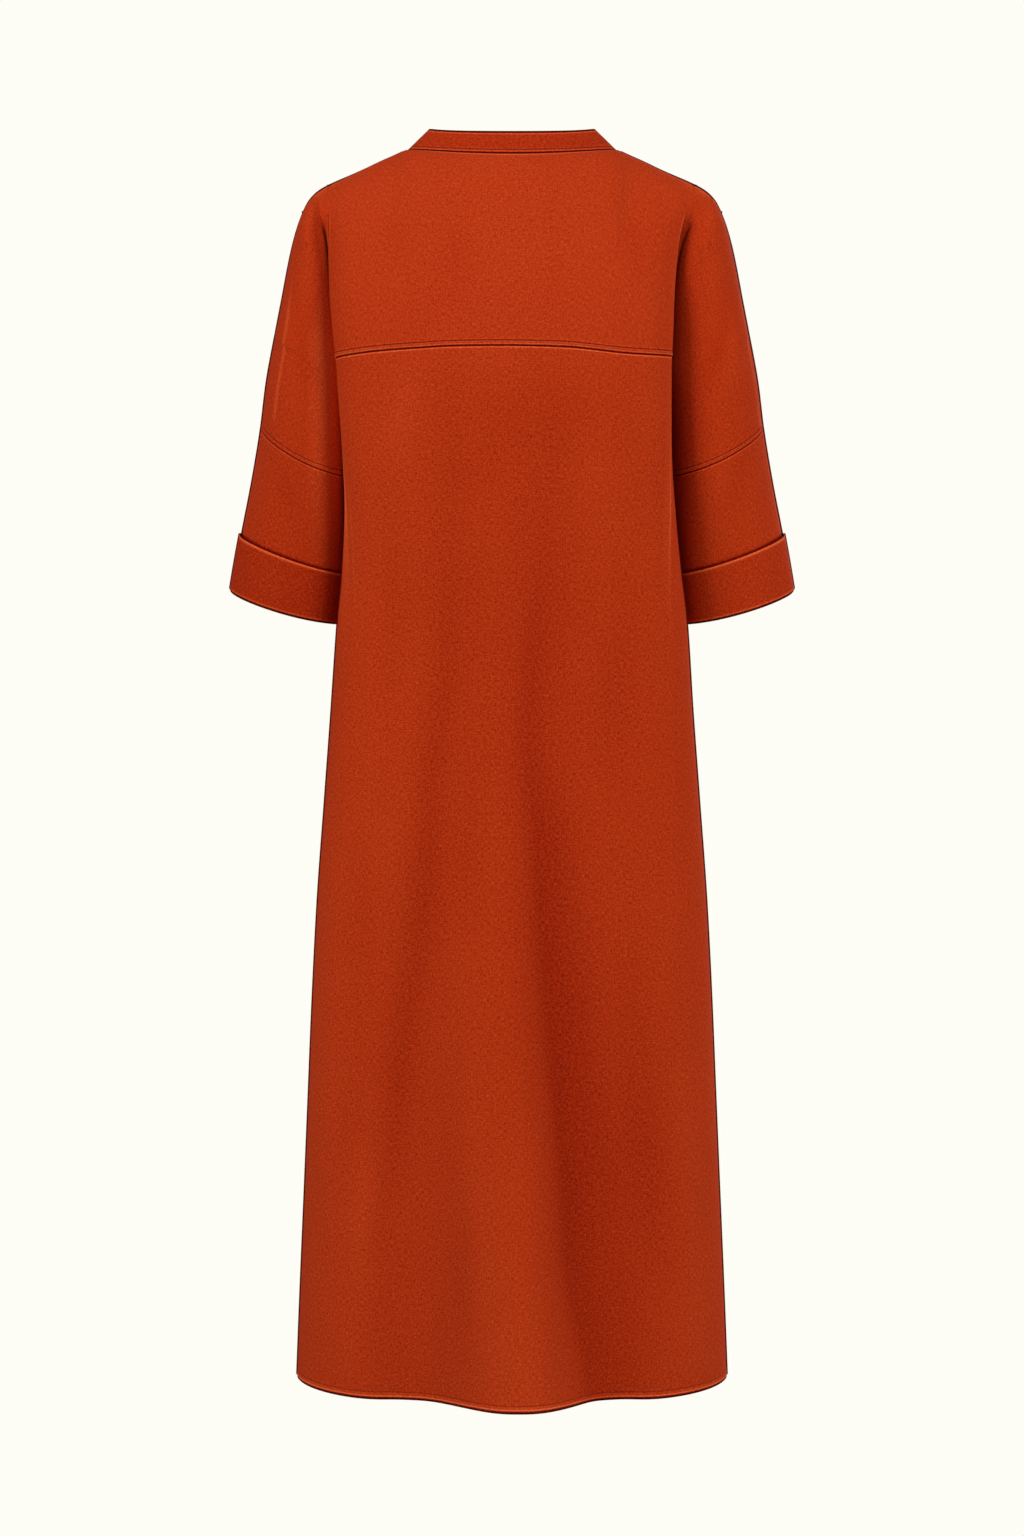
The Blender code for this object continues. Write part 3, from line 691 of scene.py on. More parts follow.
def sleeveRing(side, face, share, step):
    angle = math.pi * share
    across = np.maximum((1 - np.cos(angle)) / 2, 0.0) ** at(sleeve, "narrow", step)
    x = mix(at(sleeve, "inner" + side.capitalize(), step), at(sleeve, "outerX", step), across)
    z = mix(at(sleeve, "innerZ", step), at(sleeve, "outerZ", step), across)
    turn = 1 if face == "back" else -1
    full = at(sleeve, "halfDepth", step) * np.sin(angle) + sleeveFlat(side, share, step)
    y = at(sleeve, "middleY", step) + turn * full
    return x, y, z - turn * at(sleeve, "drop", step) * np.sin(angle)


def shoulderCap(side, face, share, z, ringY):
    innerX, innerY = bodySection(side, face, np.full_like(z, cut["bodySteps"]), z)
    outerX, outerY = at(outline, "halfWidth", z), at(outline, "seamY", z)
    angle = math.pi * share
    across = np.maximum((1 - np.cos(angle)) / 2, 0.0) ** sleeve["narrow"][0]
    rise = ringY - (innerY + outerY) / 2
    turn = 1 if face == "back" else -1
    flat = turn * sleeveFlat(side, share, 0.0) * at(outline, "fold", z)
    return mix(innerX, outerX, across), mix(innerY, outerY, across) + rise * np.sin(angle) + flat


def upperPoint(side, face, station, share):
    topX, topY, topZ = topPoint(face, station)
    fall, roundOff = 1 - np.cos(math.pi / 2 * share), np.sin(math.pi / 2 * share)
    onBody = station <= cut["bodySteps"]
    across = np.clip((station - cut["bodySteps"]) / cut["sleeveSteps"], 0, 1)
    lowX, lowY, lowZ = sleeveRing(side, face, across, np.zeros_like(station))
    turn = 1 if face == "back" else -1
    ringY = sleeve["middleY"][0] + turn * sleeve["halfDepth"][0]
    bodyStation = np.minimum(station, cut["bodySteps"])
    z = mix(topZ, np.where(onBody, yokeLineZ(side, bodyStation), lowZ), fall)
    bodyX, bodyY = bodySection(side, face, bodyStation, z)
    bodyTop = bodySection(side, face, bodyStation, topZ)[0]
    capX, capY = shoulderCap(side, face, across, z, ringY)
    capTop = shoulderCap(side, face, across, topZ, ringY)[0]
    x, y = np.where(onBody, bodyX, capX), np.where(onBody, bodyY, capY)
    lastRow = (share == 1.0) & ~onBody
    x, y = np.where(lastRow, lowX, x), np.where(lastRow, lowY, y)
    opened = at(outline, "fold", z)
    past = np.clip((station - cut["foldEdge"]) / (cut["bodySteps"] - cut["foldEdge"]), 0, 1)
    closed = np.clip(1 - opened / cut["foldTopEnds"][0], 0, 1)
    capStart = np.maximum(cut["capRounding"][0], 1 + cut["foldTopRounding"] * closed)
    bodyRounding = 1 + cut["foldTopRounding"] * past * closed
    rounding = np.where(onBody, bodyRounding, mix(capStart, cut["capRounding"][1], across))
    roundOff = np.minimum(roundOff * rounding, 1.0)
    closed = np.clip(1 - opened / cut["foldTopEnds"][1], 0, 1)
    spread = (station - cut["foldEdge"]) / cut["foldTopSpread"]
    y = y + turn * cut["foldTopRise"] * closed * np.exp(-(spread**2))
    x = x + (topX - np.where(onBody, bodyTop, capTop)) * (1 - share) ** cut["topBlendPower"]
    outer = (station == cut["bodySteps"] + cut["sleeveSteps"]) & (share < 1.0)
    x = np.where(outer, at(outline, "halfWidth", z), x)
    return x, mix(topY, y, roundOff), z


def skirtPoint(side, face, station, share):
    rise, power = cut["hemSideRise"]
    hemZ = cut["hemZ"] + rise * np.sin(math.pi / 2 * station / cut["bodySteps"]) ** power
    z = mix(yokeLineZ(side, station), hemZ, share ** cut["skirtRowPower"])
    x, y = bodySection(side, face, station, z)
    middle = (station == 0) & ((z <= cut["slitEndZ"]) | (face == "back"))
    return np.where(middle, 0.0, x), y, z


def spaced(start, end, count, nearStart=(), nearEnd=(), clear=0.35):
    # even steps, with closer ones given as distances from either end
    even = np.linspace(start, end, count + 1)
    close = [start + d for d in nearStart] + [end - d for d in nearEnd]
    kept = [v for v in even if all(abs(v - c) > clear * (end - start) / count for c in close)]
    return np.array(sorted(set(kept + close + [start, end])))


# rows and columns of the grids lie closer where something is sewn or pressed
seamRows = (
    (0.0004, 0.0008, 0.0012, 0.0017, 0.0023, 0.0031, 0.0039, 0.0044, 0.0048)
    + (0.0051, 0.0054, 0.0058, 0.0064, 0.0074, 0.0092, 0.0118, 0.0150)
)
hemRows = (
    (0.0004, 0.0008, 0.0013, 0.0019, 0.0027, 0.0040, 0.0052, 0.0057, 0.0061)
    + (0.0064, 0.0067, 0.0071, 0.0077, 0.0090, 0.0115, 0.0155)
)
edgeStations = (0.010, 0.021, 0.034, 0.048, 0.066, 0.090, 0.127, 0.17)
topRows = (0.0006, 0.0012, 0.0018, 0.0024, 0.0032, 0.0042, 0.0056, 0.0074, 0.0100)
# about how long each part is, for turning distances on the cloth into shares of it
skirtLength = cut["yokeMiddleZ"] - cut["hemZ"]
yokeDrop = -cut["yokeMiddleZ"] * math.pi / 2
sleeveUnit = 0.088
lowerUnit = 0.0505
cuffTop = 2.97
cuffRows = (0.0036, 0.0028, 0.0022, 0.0017, 0.0012, 0.0007, 0.0001, -0.0012)
cuffLine = [cuffTop - 1 - d / lowerUnit for d in cuffRows]

foldEdgeStations = (8.78, 8.88, 8.96, 9.04, 9.12, 9.22, 9.36)
outerEdgeStations = (0.015, 0.03, 0.045, 0.06, 0.08, 0.105, 0.14, 0.19, 0.28)
overarmStations = (2.25, 2.35, 2.45, 2.55, 2.65, 2.75, 2.85)
innerEdgeStations = (0.03, 0.07, 0.14)
gridSteps = {"body": 65, "sleeve": 34, "upper": 40, "skirt": 128, "upperSleeve": 18, "lowerSleeve": 30}
bodyStations = spaced(0, cut["bodySteps"], gridSteps["body"], foldEdgeStations, edgeStations)
sleeveStations = spaced(
    0, cut["sleeveSteps"], gridSteps["sleeve"], innerEdgeStations, outerEdgeStations + overarmStations
)
allStations = np.concatenate([bodyStations, cut["bodySteps"] + sleeveStations[1:]])
rowSets = {
    "upper": spaced(
        0, 1, gridSteps["upper"], [d / yokeDrop for d in topRows], [d / yokeDrop for d in seamRows]
    ),
    "skirt": spaced(
        0,
        1,
        gridSteps["skirt"],
        [(d / skirtLength) ** (1 / cut["skirtRowPower"]) for d in seamRows],
        [d / skirtLength / cut["skirtRowPower"] for d in hemRows],
    ),
    "upperSleeve": spaced(0, 1, gridSteps["upperSleeve"], (), [d / sleeveUnit for d in seamRows]),
    "lowerSleeve": spaced(
        1,
        cut["sleeveEnd"],
        gridSteps["lowerSleeve"],
        [d / lowerUnit for d in seamRows[:12]] + cuffLine,
        (0.02, 0.06),
    ),
}


def makeForm():
    # every part of the garment on a fine grid, welded where parts meet
    parts = []
    for side in ("left", "right"):
        for face in ("back", "front"):
            upperPiece = "back_yoke" if face == "back" else "front"
            skirtPiece = "back_panel" if face == "back" else "front"
            rows, columns = np.meshgrid(rowSets["upper"], allStations, indexing="ij")
            parts.append(("upper", upperPiece, side, face, upperPoint(side, face, columns, rows)))
            rows, columns = np.meshgrid(rowSets["skirt"], bodyStations, indexing="ij")
            parts.append(("skirt", skirtPiece, side, face, skirtPoint(side, face, columns, rows)))
            shares = sleeveStations / cut["sleeveSteps"]
            rows, columns = np.meshgrid(rowSets["upperSleeve"], shares, indexing="ij")
            parts.append(("upperSleeve", upperPiece, side, face, sleeveRing(side, face, columns, rows)))
            rows, columns = np.meshgrid(rowSets["lowerSleeve"], shares, indexing="ij")
            lowerPiece = "sleeve_" + side
            parts.append(("lowerSleeve", lowerPiece, side, face, sleeveRing(side, face, columns, rows)))
    stacked, shapes = [], []
    for name, piece, side, face, (x, y, z) in parts:
        sign = 1 if side == "left" else -1
        stacked.append(np.stack([sign * x, y, z], axis=-1).reshape(-1, 3))
        shapes.append(x.shape)
    everything = np.concatenate(stacked)
    keys = np.round(everything * 1e6).astype(np.int64)
    _, first, index = np.unique(keys, axis=0, return_index=True, return_inverse=True)
    index = index.reshape(-1)
    form = {"points": everything[first], "grids": {}, "quads": {}, "uv": {}}
    start = 0
    for (name, piece, side, face, _), shape in zip(parts, shapes):
        count = shape[0] * shape[1]
        ids = index[start : start + count].reshape(shape)
        start += count
        form["grids"][name, side, face] = ids
        quads = np.stack([ids[:-1, :-1], ids[1:, :-1], ids[1:, 1:], ids[:-1, 1:]], axis=-1)
        flat = form["points"][ids]
        # the cloth's own measure: across from the middle line, and down from the top of the part
        across = np.linalg.norm(np.diff(flat, axis=1), axis=2)
        down = np.linalg.norm(np.diff(flat, axis=0), axis=2)
        u = np.concatenate([np.zeros((shape[0], 1)), np.cumsum(across, axis=1)], axis=1)
        v = np.concatenate([np.zeros((1, shape[1])), np.cumsum(down, axis=0)], axis=0)
        sign = 1 if side == "left" else -1
        if "Sleeve" in name:
            u = u + cut["sleeveMapShift"]
        uv = np.stack([sign * u, -v], axis=-1)
        corners = np.stack([uv[:-1, :-1], uv[1:, :-1], uv[1:, 1:], uv[:-1, 1:]], axis=2)
        if (side == "left") == (face == "back"):
            quads, corners = quads[..., ::-1], corners[:, :, ::-1]
        form["quads"].setdefault(piece, []).append(quads.reshape(-1, 4))
        form["uv"].setdefault(piece, []).append(corners.reshape(-1, 4, 2))
    for piece in form["quads"]:
        form["quads"][piece] = np.concatenate(form["quads"][piece])
        form["uv"][piece] = np.concatenate(form["uv"][piece])
    return form


def normalsOf(points, quads):
    total = np.zeros_like(points)
    corners = points[quads]
    normal = np.cross(corners[:, 2] - corners[:, 0], corners[:, 3] - corners[:, 1])
    for i in range(4):
        np.add.at(total, quads[:, i], normal)
    length = np.linalg.norm(total, axis=1)
    return total / np.maximum(length, 1e-12)[:, None]


def openEdges(quads):
    edges = np.concatenate([quads[:, [i, (i + 1) % 4]] for i in range(4)])
    edges = edges[edges[:, 0] != edges[:, 1]]
    big = int(edges.max()) + 1
    forward = edges[:, 0].astype(np.int64) * big + edges[:, 1]
    backward = edges[:, 1].astype(np.int64) * big + edges[:, 0]
    return edges[~np.isin(forward, backward)]


def relax(points, quads, rounds, strength):
    # takes the last corners out of the worked-out form, leaving every open edge where it is
    fixed = np.zeros(len(points), bool)
    fixed[openEdges(quads).reshape(-1)] = True
    edges = np.concatenate([quads[:, [i, (i + 1) % 4]] for i in range(4)])
    edges = edges[edges[:, 0] != edges[:, 1]]
    for _ in range(rounds):
        total = np.zeros_like(points)
        weight = np.zeros(len(points))
        length = np.linalg.norm(points[edges[:, 0]] - points[edges[:, 1]], axis=1)
        pull = 1 / np.maximum(length, smoothing["shortest"])
        np.add.at(total, edges[:, 0], points[edges[:, 1]] * pull[:, None])
        np.add.at(total, edges[:, 1], points[edges[:, 0]] * pull[:, None])
        np.add.at(weight, edges[:, 0], pull)
        np.add.at(weight, edges[:, 1], pull)
        mean = total / np.maximum(weight, 1e-9)[:, None]
        points = np.where(fixed[:, None], points, mix(points, mean, strength))
    return points


def eased(value, start, over, least=0.0):
    # rises evenly from one limit to 1 over a distance
    return np.clip((value - start) / over, least, 1)


def creaseField(rows, x, z):
    # each crease swells and thins along its way and fades at both ends
    moved = np.zeros_like(x)
    for x1, z1, x2, z2, bow, depth, width in zip(*rows.values()):
        along = np.array((x2 - x1, z2 - z1))
        length = np.linalg.norm(along)
        along = along / length
        t = ((x - x1) * along[0] + (z - z1) * along[1]) / length
        off = (x - x1) * -along[1] + (z - z1) * along[0] - bow * 4 * t * (1 - t)
        inside = np.clip(t, 0, 1)
        wave = np.cos(creaseForm["waves"] * math.pi * inside + creaseForm["shift"] * x1)
        swell = creaseForm["least"] + creaseForm["swell"] * wave
        fade = np.sin(math.pi * inside) ** creaseForm["endPower"] * swell
        soft = width * (creaseForm["narrow"] + creaseForm["widen"] * inside)
        moved += depth * fade * np.exp(-((off / soft) ** 2)) * ((t > 0) & (t < 1))
    return moved


def distanceFrom(ids, points, along):
    # how far each grid point lies from the grid's first or last row or column, on the cloth
    flat = points[ids]
    axis = 0 if along in ("firstRow", "lastRow") else 1
    steps = np.linalg.norm(np.diff(flat, axis=axis), axis=2)
    pad = np.zeros((1, ids.shape[1])) if axis == 0 else np.zeros((ids.shape[0], 1))
    if along.startswith("first"):
        return np.concatenate([pad, np.cumsum(steps, axis=axis)], axis=axis)
    turned = np.flip(steps, axis=axis)
    return np.flip(np.concatenate([pad, np.cumsum(turned, axis=axis)], axis=axis), axis=axis)


def grooveField(face, x, z, name):
    # the grooves' depth or their painted shading: a valley steeper on one side than on the other
    moved = np.zeros_like(x)
    for groove in grooves[face]:
        off = x - at(groove, "x", z)
        wide = np.where(off > 0, at(groove, "left", z), at(groove, "right", z))
        inside = (z < groove["z"][-1]) * np.exp(-((np.abs(off) / wide) ** creaseForm["groovePower"]))
        moved += at(groove, name, z) * inside
    return moved


def pulled(distance, stitchAt):
    # the small furrow that a row of stitches pulls
    return sewnForm["pull"] * np.exp(-(((distance - stitchAt) / sewnForm["pullWidth"]) ** 2))


def seamProfile(distance, seam, raised):
    moved = -seam["dip"] * np.exp(-((distance / seam["width"]) ** sewnForm["dipPower"]))
    if "press" in seam:
        moved = moved - seam["press"] * np.exp(-((distance / seam["pressWidth"]) ** 2))
    if raised and "welt" in seam:
        stitchAt = seam["stitchAt"]
        plateau = 1 / (1 + np.exp((distance - stitchAt - sewnForm["weltPast"]) / sewnForm["weltSoft"]))
        moved = moved + seam["welt"] * plateau * (1 - np.exp(-((distance / sewnForm["weltStart"]) ** 2)))
        moved = moved - pulled(distance, stitchAt)
    return moved


def lineTone(distance, seam):
    # a dark line of painted shade with a paler line of painted highlight beside it
    tone = -seam["dark"] * np.exp(-((distance / seam["core"]) ** shades["linePower"]))
    off = (distance - seam["flankAt"]) / seam["flank"]
    return tone + seam["pale"] * np.exp(-(np.where(off > 0, off / seam.get("spread", 1.0), off) ** 2))


def stitchTone(distance, stitchAt):
    # painted shade along the row of stitches and painted highlight just beside it
    off = distance - stitchAt
    tone = -shades["stitchDark"] * np.exp(-((off / shades["stitchWidth"]) ** 2))
    beside = (np.abs(off) - shades["stitchPaleAt"]) / shades["stitchPaleWidth"]
    return tone + shades["stitchPale"] * np.exp(-(beside**2))


def seamTone(distance, seam, raised):
    tone = lineTone(distance, seam)
    if raised and "stitchAt" in seam:
        tone = tone + stitchTone(distance, seam["stitchAt"])
    return tone


def foldTone(face, x, z, width):
    # painted shade in the valleys of the large folds, painted highlight on their crests, and a little
    # painted highlight towards the sides
    across = np.abs(x) / width
    flat = np.clip(1 - across**6, 0, 1)
    tone = shades["valley"] * foldDepth(face, x, z) + grooveField(face, x, z, "tone")
    start = shades["sideFrom"]
    side = eased(across, start, 1 - start) * eased(-z, *shades["sideDown"])
    return tone * flat + shades["sidePale"] * side


def sleeveShade(side, x, z):
    # painted shade down the sleeve, away from the body's side
    cap, elbow, cuff = shades["sleeve"][side]
    down = np.interp(z, shades["sleeveZ"], (cuff, elbow, elbow, cap))
    return down * eased(np.abs(x), *shades["sleeveX"])


def bell(stations, middle, width):
    return np.exp(-(((stations - middle) / width) ** 2))


def armholeTone(points):
    # a painted highlight on the turned edge where the body folds in under each arm, painted shade down
    # inside the fold, painted light there instead inside the left fold on the back, and a painted highlight
    # along the overarm seam
    tone = np.zeros(len(points))
    for (name, side, face), ids in form["grids"].items():
        z = points[ids][..., 2]
        reach = armhole["reach"][side] * eased(-z, *armhole["reachTop"])
        deep = armhole["deep"][side if face == "back" else "right"] * eased(z, *armhole["deepLow"])
        deep = np.where(deep < 0, deep * eased(-z, *armhole["deepTop"]), deep)
        fade = armhole["reachFade"] * reach
        if name in ("upper", "skirt"):
            stations = allStations if name == "upper" else bodyStations
            opened = np.where(z > outline["z"][0], at(outline, "fold", z), at(body, "tuck", z))
            amount = np.clip(opened * armhole["opened"], 0, 1)
            edge = armhole["edgePale"][side] * bell(stations, *armhole["edgeAt"])
            start, end = armhole["edgeSoftRun"]
            edge = edge + armhole["edgeSoft"][side] * np.clip(stations - start, 0, 1) * (stations < end)
            inside = eased(stations, *armhole["deepFrom"])
            inside = inside * np.clip((cut["bodySteps"] + reach - stations) / fade, 0, 1)
            field = amount * (edge[None, :] - deep * inside)
            if name == "upper":
                started = eased(-z, *armhole["topLineStart"]) * eased(z, *armhole["topLineEnd"])
                pale, paleAt, paleWidth = armhole["topLinePale"]
                line = bell(stations, *armhole["topLineAt"]) - pale * bell(stations, paleAt, paleWidth)
                field = field - armhole["topLine"][side] * started * line[None, :]
        else:
            stations = cut["bodySteps"] + sleeveStations
            field = -deep * np.clip((reach - sleeveStations) / fade, 0, 1)
        if face == "back" and name in ("upper", "upperSleeve"):
            pressed = overarm[side]
            off = stations[None, :] - cut["bodySteps"] - at(pressed, "station", z)
            lower, upper = shades["overarmEnds"]
            shown = eased(z, pressed["z"][0], lower) * eased(-z, -pressed["z"][-1], upper)
            field = field + shades["overarmPale"] * shown * bell(off, 0, shades["overarmWidth"])
        flat = ids.reshape(-1)
        field = field.reshape(-1)
        stronger = np.abs(field) > np.abs(tone[flat])
        tone[flat[stronger]] = field[stronger]
    return tone


def dressCloth(form):
    points = form["points"]
    quads = np.concatenate(list(form["quads"].values()))
    points = relax(points, quads, smoothing["firstRounds"], smoothing["pull"])
    # above the armhole fold the body runs smoothly on into the sleeve
    reach = np.zeros(len(points))
    for (name, side, face), ids in form["grids"].items():
        if name == "upper":
            closed = eased(points[ids][..., 2], *smoothing["z"])
            away = (allStations - cut["bodySteps"]) / smoothing["stations"]
            near = np.clip(1 - away**2, 0, 1) ** 2
            over, start = smoothing["rows"]
            near = near * np.clip(rowSets["upper"] / over - start, 0, 1)[:, None]
            np.maximum.at(reach, ids.reshape(-1), (closed * near).reshape(-1))
    around = quads[(reach[quads] > smoothing["least"]).any(axis=1)]
    points = relax(points, around, smoothing["rounds"], smoothing["pull"] * reach[:, None])
    # the outer end of the shoulder line lies on the curve of its neighbours
    for side in ("left", "right"):
        ids = form["grids"]["upper", side, "back"]
        points[ids[0, -1]] = (points[ids[0, -2]] + points[ids[1, -1]]) / 2
    normals = normalsOf(points, quads)
    moved = np.zeros(len(points))
    tone = np.zeros(len(points))
    for (name, side, face), ids in form["grids"].items():
        flat = np.unique(ids)
        x, z = points[flat, 0], points[flat, 2]
        steep, start = creaseForm["facing"]
        facing = np.clip(np.abs(normals[flat, 1]) * steep - start, 0, 1)
        rows = creases[side + "SleeveBack"] if face == "back" else creases["sleeveFront"]
        field = np.zeros(len(flat))
        if name in ("skirt", "upper"):
            field = field + creaseField(creases[face], x, z)
        if name == "skirt":
            groove = grooveField(face, x, z, "depth")
            field = field + groove
            # painted shade in the skirt's fold valleys and grooves, painted highlight on its crests
            tone[flat] = foldTone(face, x, z, at(body, side, z))
            tone[flat] -= np.clip(shades["crease"] * groove, *shades["creaseRange"])
        else:
            field = field + creaseField(rows, np.abs(x), z)
            tone[flat] = sleeveShade(side, x, z)
        field = field * facing
        stronger = np.abs(field) > np.abs(moved[flat])
        moved[flat] = np.where(stronger, field, moved[flat])
    # painted shade in the creases and painted highlight on their ridges
    tone = tone + np.clip(shades["crease"] * moved, *shades["creaseRange"])
    points = points + normals * moved[:, None]

    normals = normalsOf(points, quads)
    moved = np.zeros(len(points))
    # lines gathers the painted shade and highlight of the seams, the stitching and the hem
    lines = np.zeros(len(points))

    def lay(ids, field, lineField):
        flat, field, lineField = ids.reshape(-1), field.reshape(-1), lineField.reshape(-1)
        stronger = np.abs(field) > np.abs(moved[flat])
        moved[flat[stronger]] = field[stronger]
        stronger = np.abs(lineField) > np.abs(lines[flat])
        lines[flat[stronger]] = lineField[stronger]

    def laySeam(ids, seam, along, raised=False, share=1.0):
        away = distanceFrom(ids, points, along)
        lay(ids, share * seamProfile(away, seams[seam], raised), seamTone(away, seams[seam], raised))

    bodyCount = len(bodyStations)
    neckEnd = int(np.searchsorted(bodyStations, cut["neckSteps"]))
    for (name, side, face), ids in form["grids"].items():
        if name == "upper":
            if face == "back":
                laySeam(ids[:, :bodyCount], "yoke", "lastRow", True)
            laySeam(ids[:, : neckEnd + 1], "neck", "firstRow")
            lower, start, over = shoulderFade
            share = 1 - lower * np.clip((allStations[neckEnd + 1 :] - start) / over, 0, 1)
            laySeam(ids[:, neckEnd + 1 :], "shoulder", "firstRow", share=share)
            laySeam(ids, "edge", "lastColumn")
        elif name == "skirt":
            if face == "back":
                laySeam(ids, "yoke", "firstRow")
            laySeam(ids, "edge", "lastColumn")
            away = distanceFrom(ids, points, "lastRow")
            hem = cut["hemDepth"]
            puff = sewnForm["hemPuff"] * np.exp(-(((away - hem / 2) / (hem / 3)) ** 2))
            # painted shade and highlight along the hem's edge and its stitching
            hemLines = lineTone(away, seams["hem"]) + shades["hemStitch"] * stitchTone(away, hem)
            lay(ids, puff - pulled(away, hem), hemLines)
        else:
            lastOrFirst = "lastRow" if name == "upperSleeve" else "firstRow"
            laySeam(ids, "sleeve", lastOrFirst, name == "upperSleeve")
            laySeam(ids, "plain", "firstColumn")
            laySeam(ids, "edge", "lastColumn")
            if name == "lowerSleeve":
                # the painted shadow of the cuff on the sleeve just above it
                above = (cuffTop - rowSets["lowerSleeve"]) * lowerUnit
                full, end = shades["underCuffFrom"]
                fade = np.exp(-((np.clip(above, full, 1) / shades["underCuffHeight"]) ** 2))
                shade = shades["underCuff"] * fade * (above > end)
                lay(ids, np.zeros(ids.shape), np.broadcast_to(shade[:, None], ids.shape))
    form["points"] = points + normals * moved[:, None]
    form["normals"] = normalsOf(form["points"], quads)
    form["quadsAll"] = quads
    # all the painted shading of the cloth: folds, creases, sleeves, seams, stitching, hem and armholes
    form["tone"] = tone + lines + armholeTone(points)


form = makeForm()
print("form worked out:", len(form["points"]), "points")
dressCloth(form)
print("creases, seams and hem laid in")


def giveTone(piece, tone):
    # the painted shading is kept on the piece's points
    layer = piece.data.attributes.new(name="tone", type="FLOAT", domain="POINT")
    layer.data.foreach_set("value", np.asarray(tone, np.float32))


def addMesh(name, points, faces, uv=None, material=None):
    mesh = bpy.data.meshes.new(name)
    mesh.from_pydata(points.tolist() if hasattr(points, "tolist") else points, [], faces)
    if uv is not None:
        layer = mesh.uv_layers.new(name="clothMap")
        layer.data.foreach_set("uv", np.asarray(uv, np.float32).reshape(-1))
    if material:
        mesh.materials.append(material)
    mesh.validate()
    piece = bpy.data.objects.new(name, mesh)
    bpy.context.scene.collection.objects.link(piece)
    bpy.ops.object.select_all(action="DESELECT")
    piece.select_set(True)
    bpy.context.view_layer.objects.active = piece
    return piece


shell = {
    "hemPast": 0.0006,
    "hemSoft": 0.0003,
    "edgeRound": 0.45,
    # painted shade on the rounded cut edges, and a little more on the inner face
    "edgeTone": -0.9,
    "innerTone": -0.05,
    "smoothAngle": math.radians(60),
}


def clothShell(name, pieceName, material):
    # the outer face of the cloth, the same face one thickness inside it, and an edge round the cut
    quads, uv = form["quads"][pieceName], form["uv"][pieceName]
    points, normals = form["points"], form["normals"]
    wall = np.full(len(points), cut["wall"])
    for (part, side, face), ids in form["grids"].items():
        if part == "skirt":
            edge = distanceFrom(ids, points, "lastRow")
            past = (edge - cut["hemDepth"] - shell["hemPast"]) / shell["hemSoft"]
            doubled = 1 / (1 + np.exp(np.minimum(past, 40)))
            np.maximum.at(wall, ids.reshape(-1), mix(cut["wall"], cut["hemWall"], doubled).reshape(-1))
    used, compact = np.unique(quads, return_inverse=True)
    quads = compact.reshape(-1, 4)
    count = len(used)
    outer = points[used]
    inner = outer - normals[used] * wall[used][:, None]
    allOpen = openEdges(form["quadsAll"])
    big = len(points)
    openKeys = set((allOpen[:, 0].astype(np.int64) * big + allOpen[:, 1]).tolist())
    faces = [list(dict.fromkeys(q)) for q in quads.tolist()]
    corners = [uv[i][: len(f)] if len(f) == 4 else uv[i][:3] for i, f in enumerate(faces)]
    innerFaces = [[v + count for v in reversed(f)] for f in faces]
    innerCorners = [c[::-1] for c in corners]
    edgeFaces, edgeCorners, extra = [], [], []
    placed = {}
    uvOf = {}
    for f, c in zip(faces, corners):
        for v, place in zip(f, c):
            uvOf[v] = place
    for a, b in openEdges(quads).tolist():
        strip = [uvOf[b], uvOf[a], uvOf[a], uvOf[b]]
        free = int(used[a]) * big + int(used[b]) in openKeys
        if free:
            along = outer[b] - outer[a]
            middles = []
            for v in (a, b):
                if v not in placed:
                    placed[v] = 2 * count + len(extra)
                    out = np.cross(along, normals[used[v]])
                    out = out / max(float(np.linalg.norm(out)), 1e-9)
                    extra.append((outer[v] + inner[v]) / 2 + out * wall[used[v]] * shell["edgeRound"])
                middles.append(placed[v])
            edgeFaces.append([b, a, middles[0], middles[1]])
            edgeFaces.append([middles[1], middles[0], a + count, b + count])
            edgeCorners += [strip, strip]
        else:
            edgeFaces.append([b, a, a + count, b + count])
            edgeCorners.append(strip)
    allPoints = np.concatenate([outer, inner] + ([np.array(extra)] if extra else []))
    allFaces = faces + innerFaces + edgeFaces
    flatUv = np.concatenate([np.asarray(c).reshape(-1, 2) for c in corners + innerCorners + edgeCorners])
    piece = addMesh(name, allPoints, allFaces, flatUv, material)
    tone = form["tone"][used]
    # the inner face keeps only the painted shade of the outer face, a little deeper
    innerTone = np.minimum(tone, 0.0) + shell["innerTone"]
    giveTone(piece, np.concatenate([tone, innerTone, [shell["edgeTone"]] * len(extra)]))
    bpy.ops.object.shade_smooth_by_angle(angle=shell["smoothAngle"])
    return piece


cloth = {
    # from the deepest painted shade of a line to the palest painted highlight of a pressed edge, with the
    # cloth's own colour at 0.50
    "colours": (
        (0.00, (0.058, 0.0013, 0.0008)),
        (0.20, (0.180, 0.0058, 0.0010)),
        (0.35, (0.300, 0.0160, 0.0018)),
        (0.50, (0.412, 0.0325, 0.0046)),
        (0.60, (0.465, 0.0440, 0.0080)),
        (0.80, (0.610, 0.0840, 0.0200)),
        (1.00, (0.790, 0.1500, 0.0480)),
    ),
    "grain": 1.10,
    "cloudy": 0.07,
    "cloudAcross": 14.0,
    "cloudAlong": 9.0,
    "noiseRoughness": 0.6,
    "threadPitch": 0.00062,
    "slubAcross": 820.0,
    "slubAlong": 310.0,
    "roughness": (0.82, 0.94),
    "sheen": 0.03,
    "sheenRoughness": 0.5,
    "sheenTint": (1.0, 0.30, 0.12),
    "specular": 0.035,
    "weaveBump": 0.00012,
    "bumpStrength": 0.55,
    "grainHeight": 2.2,
}


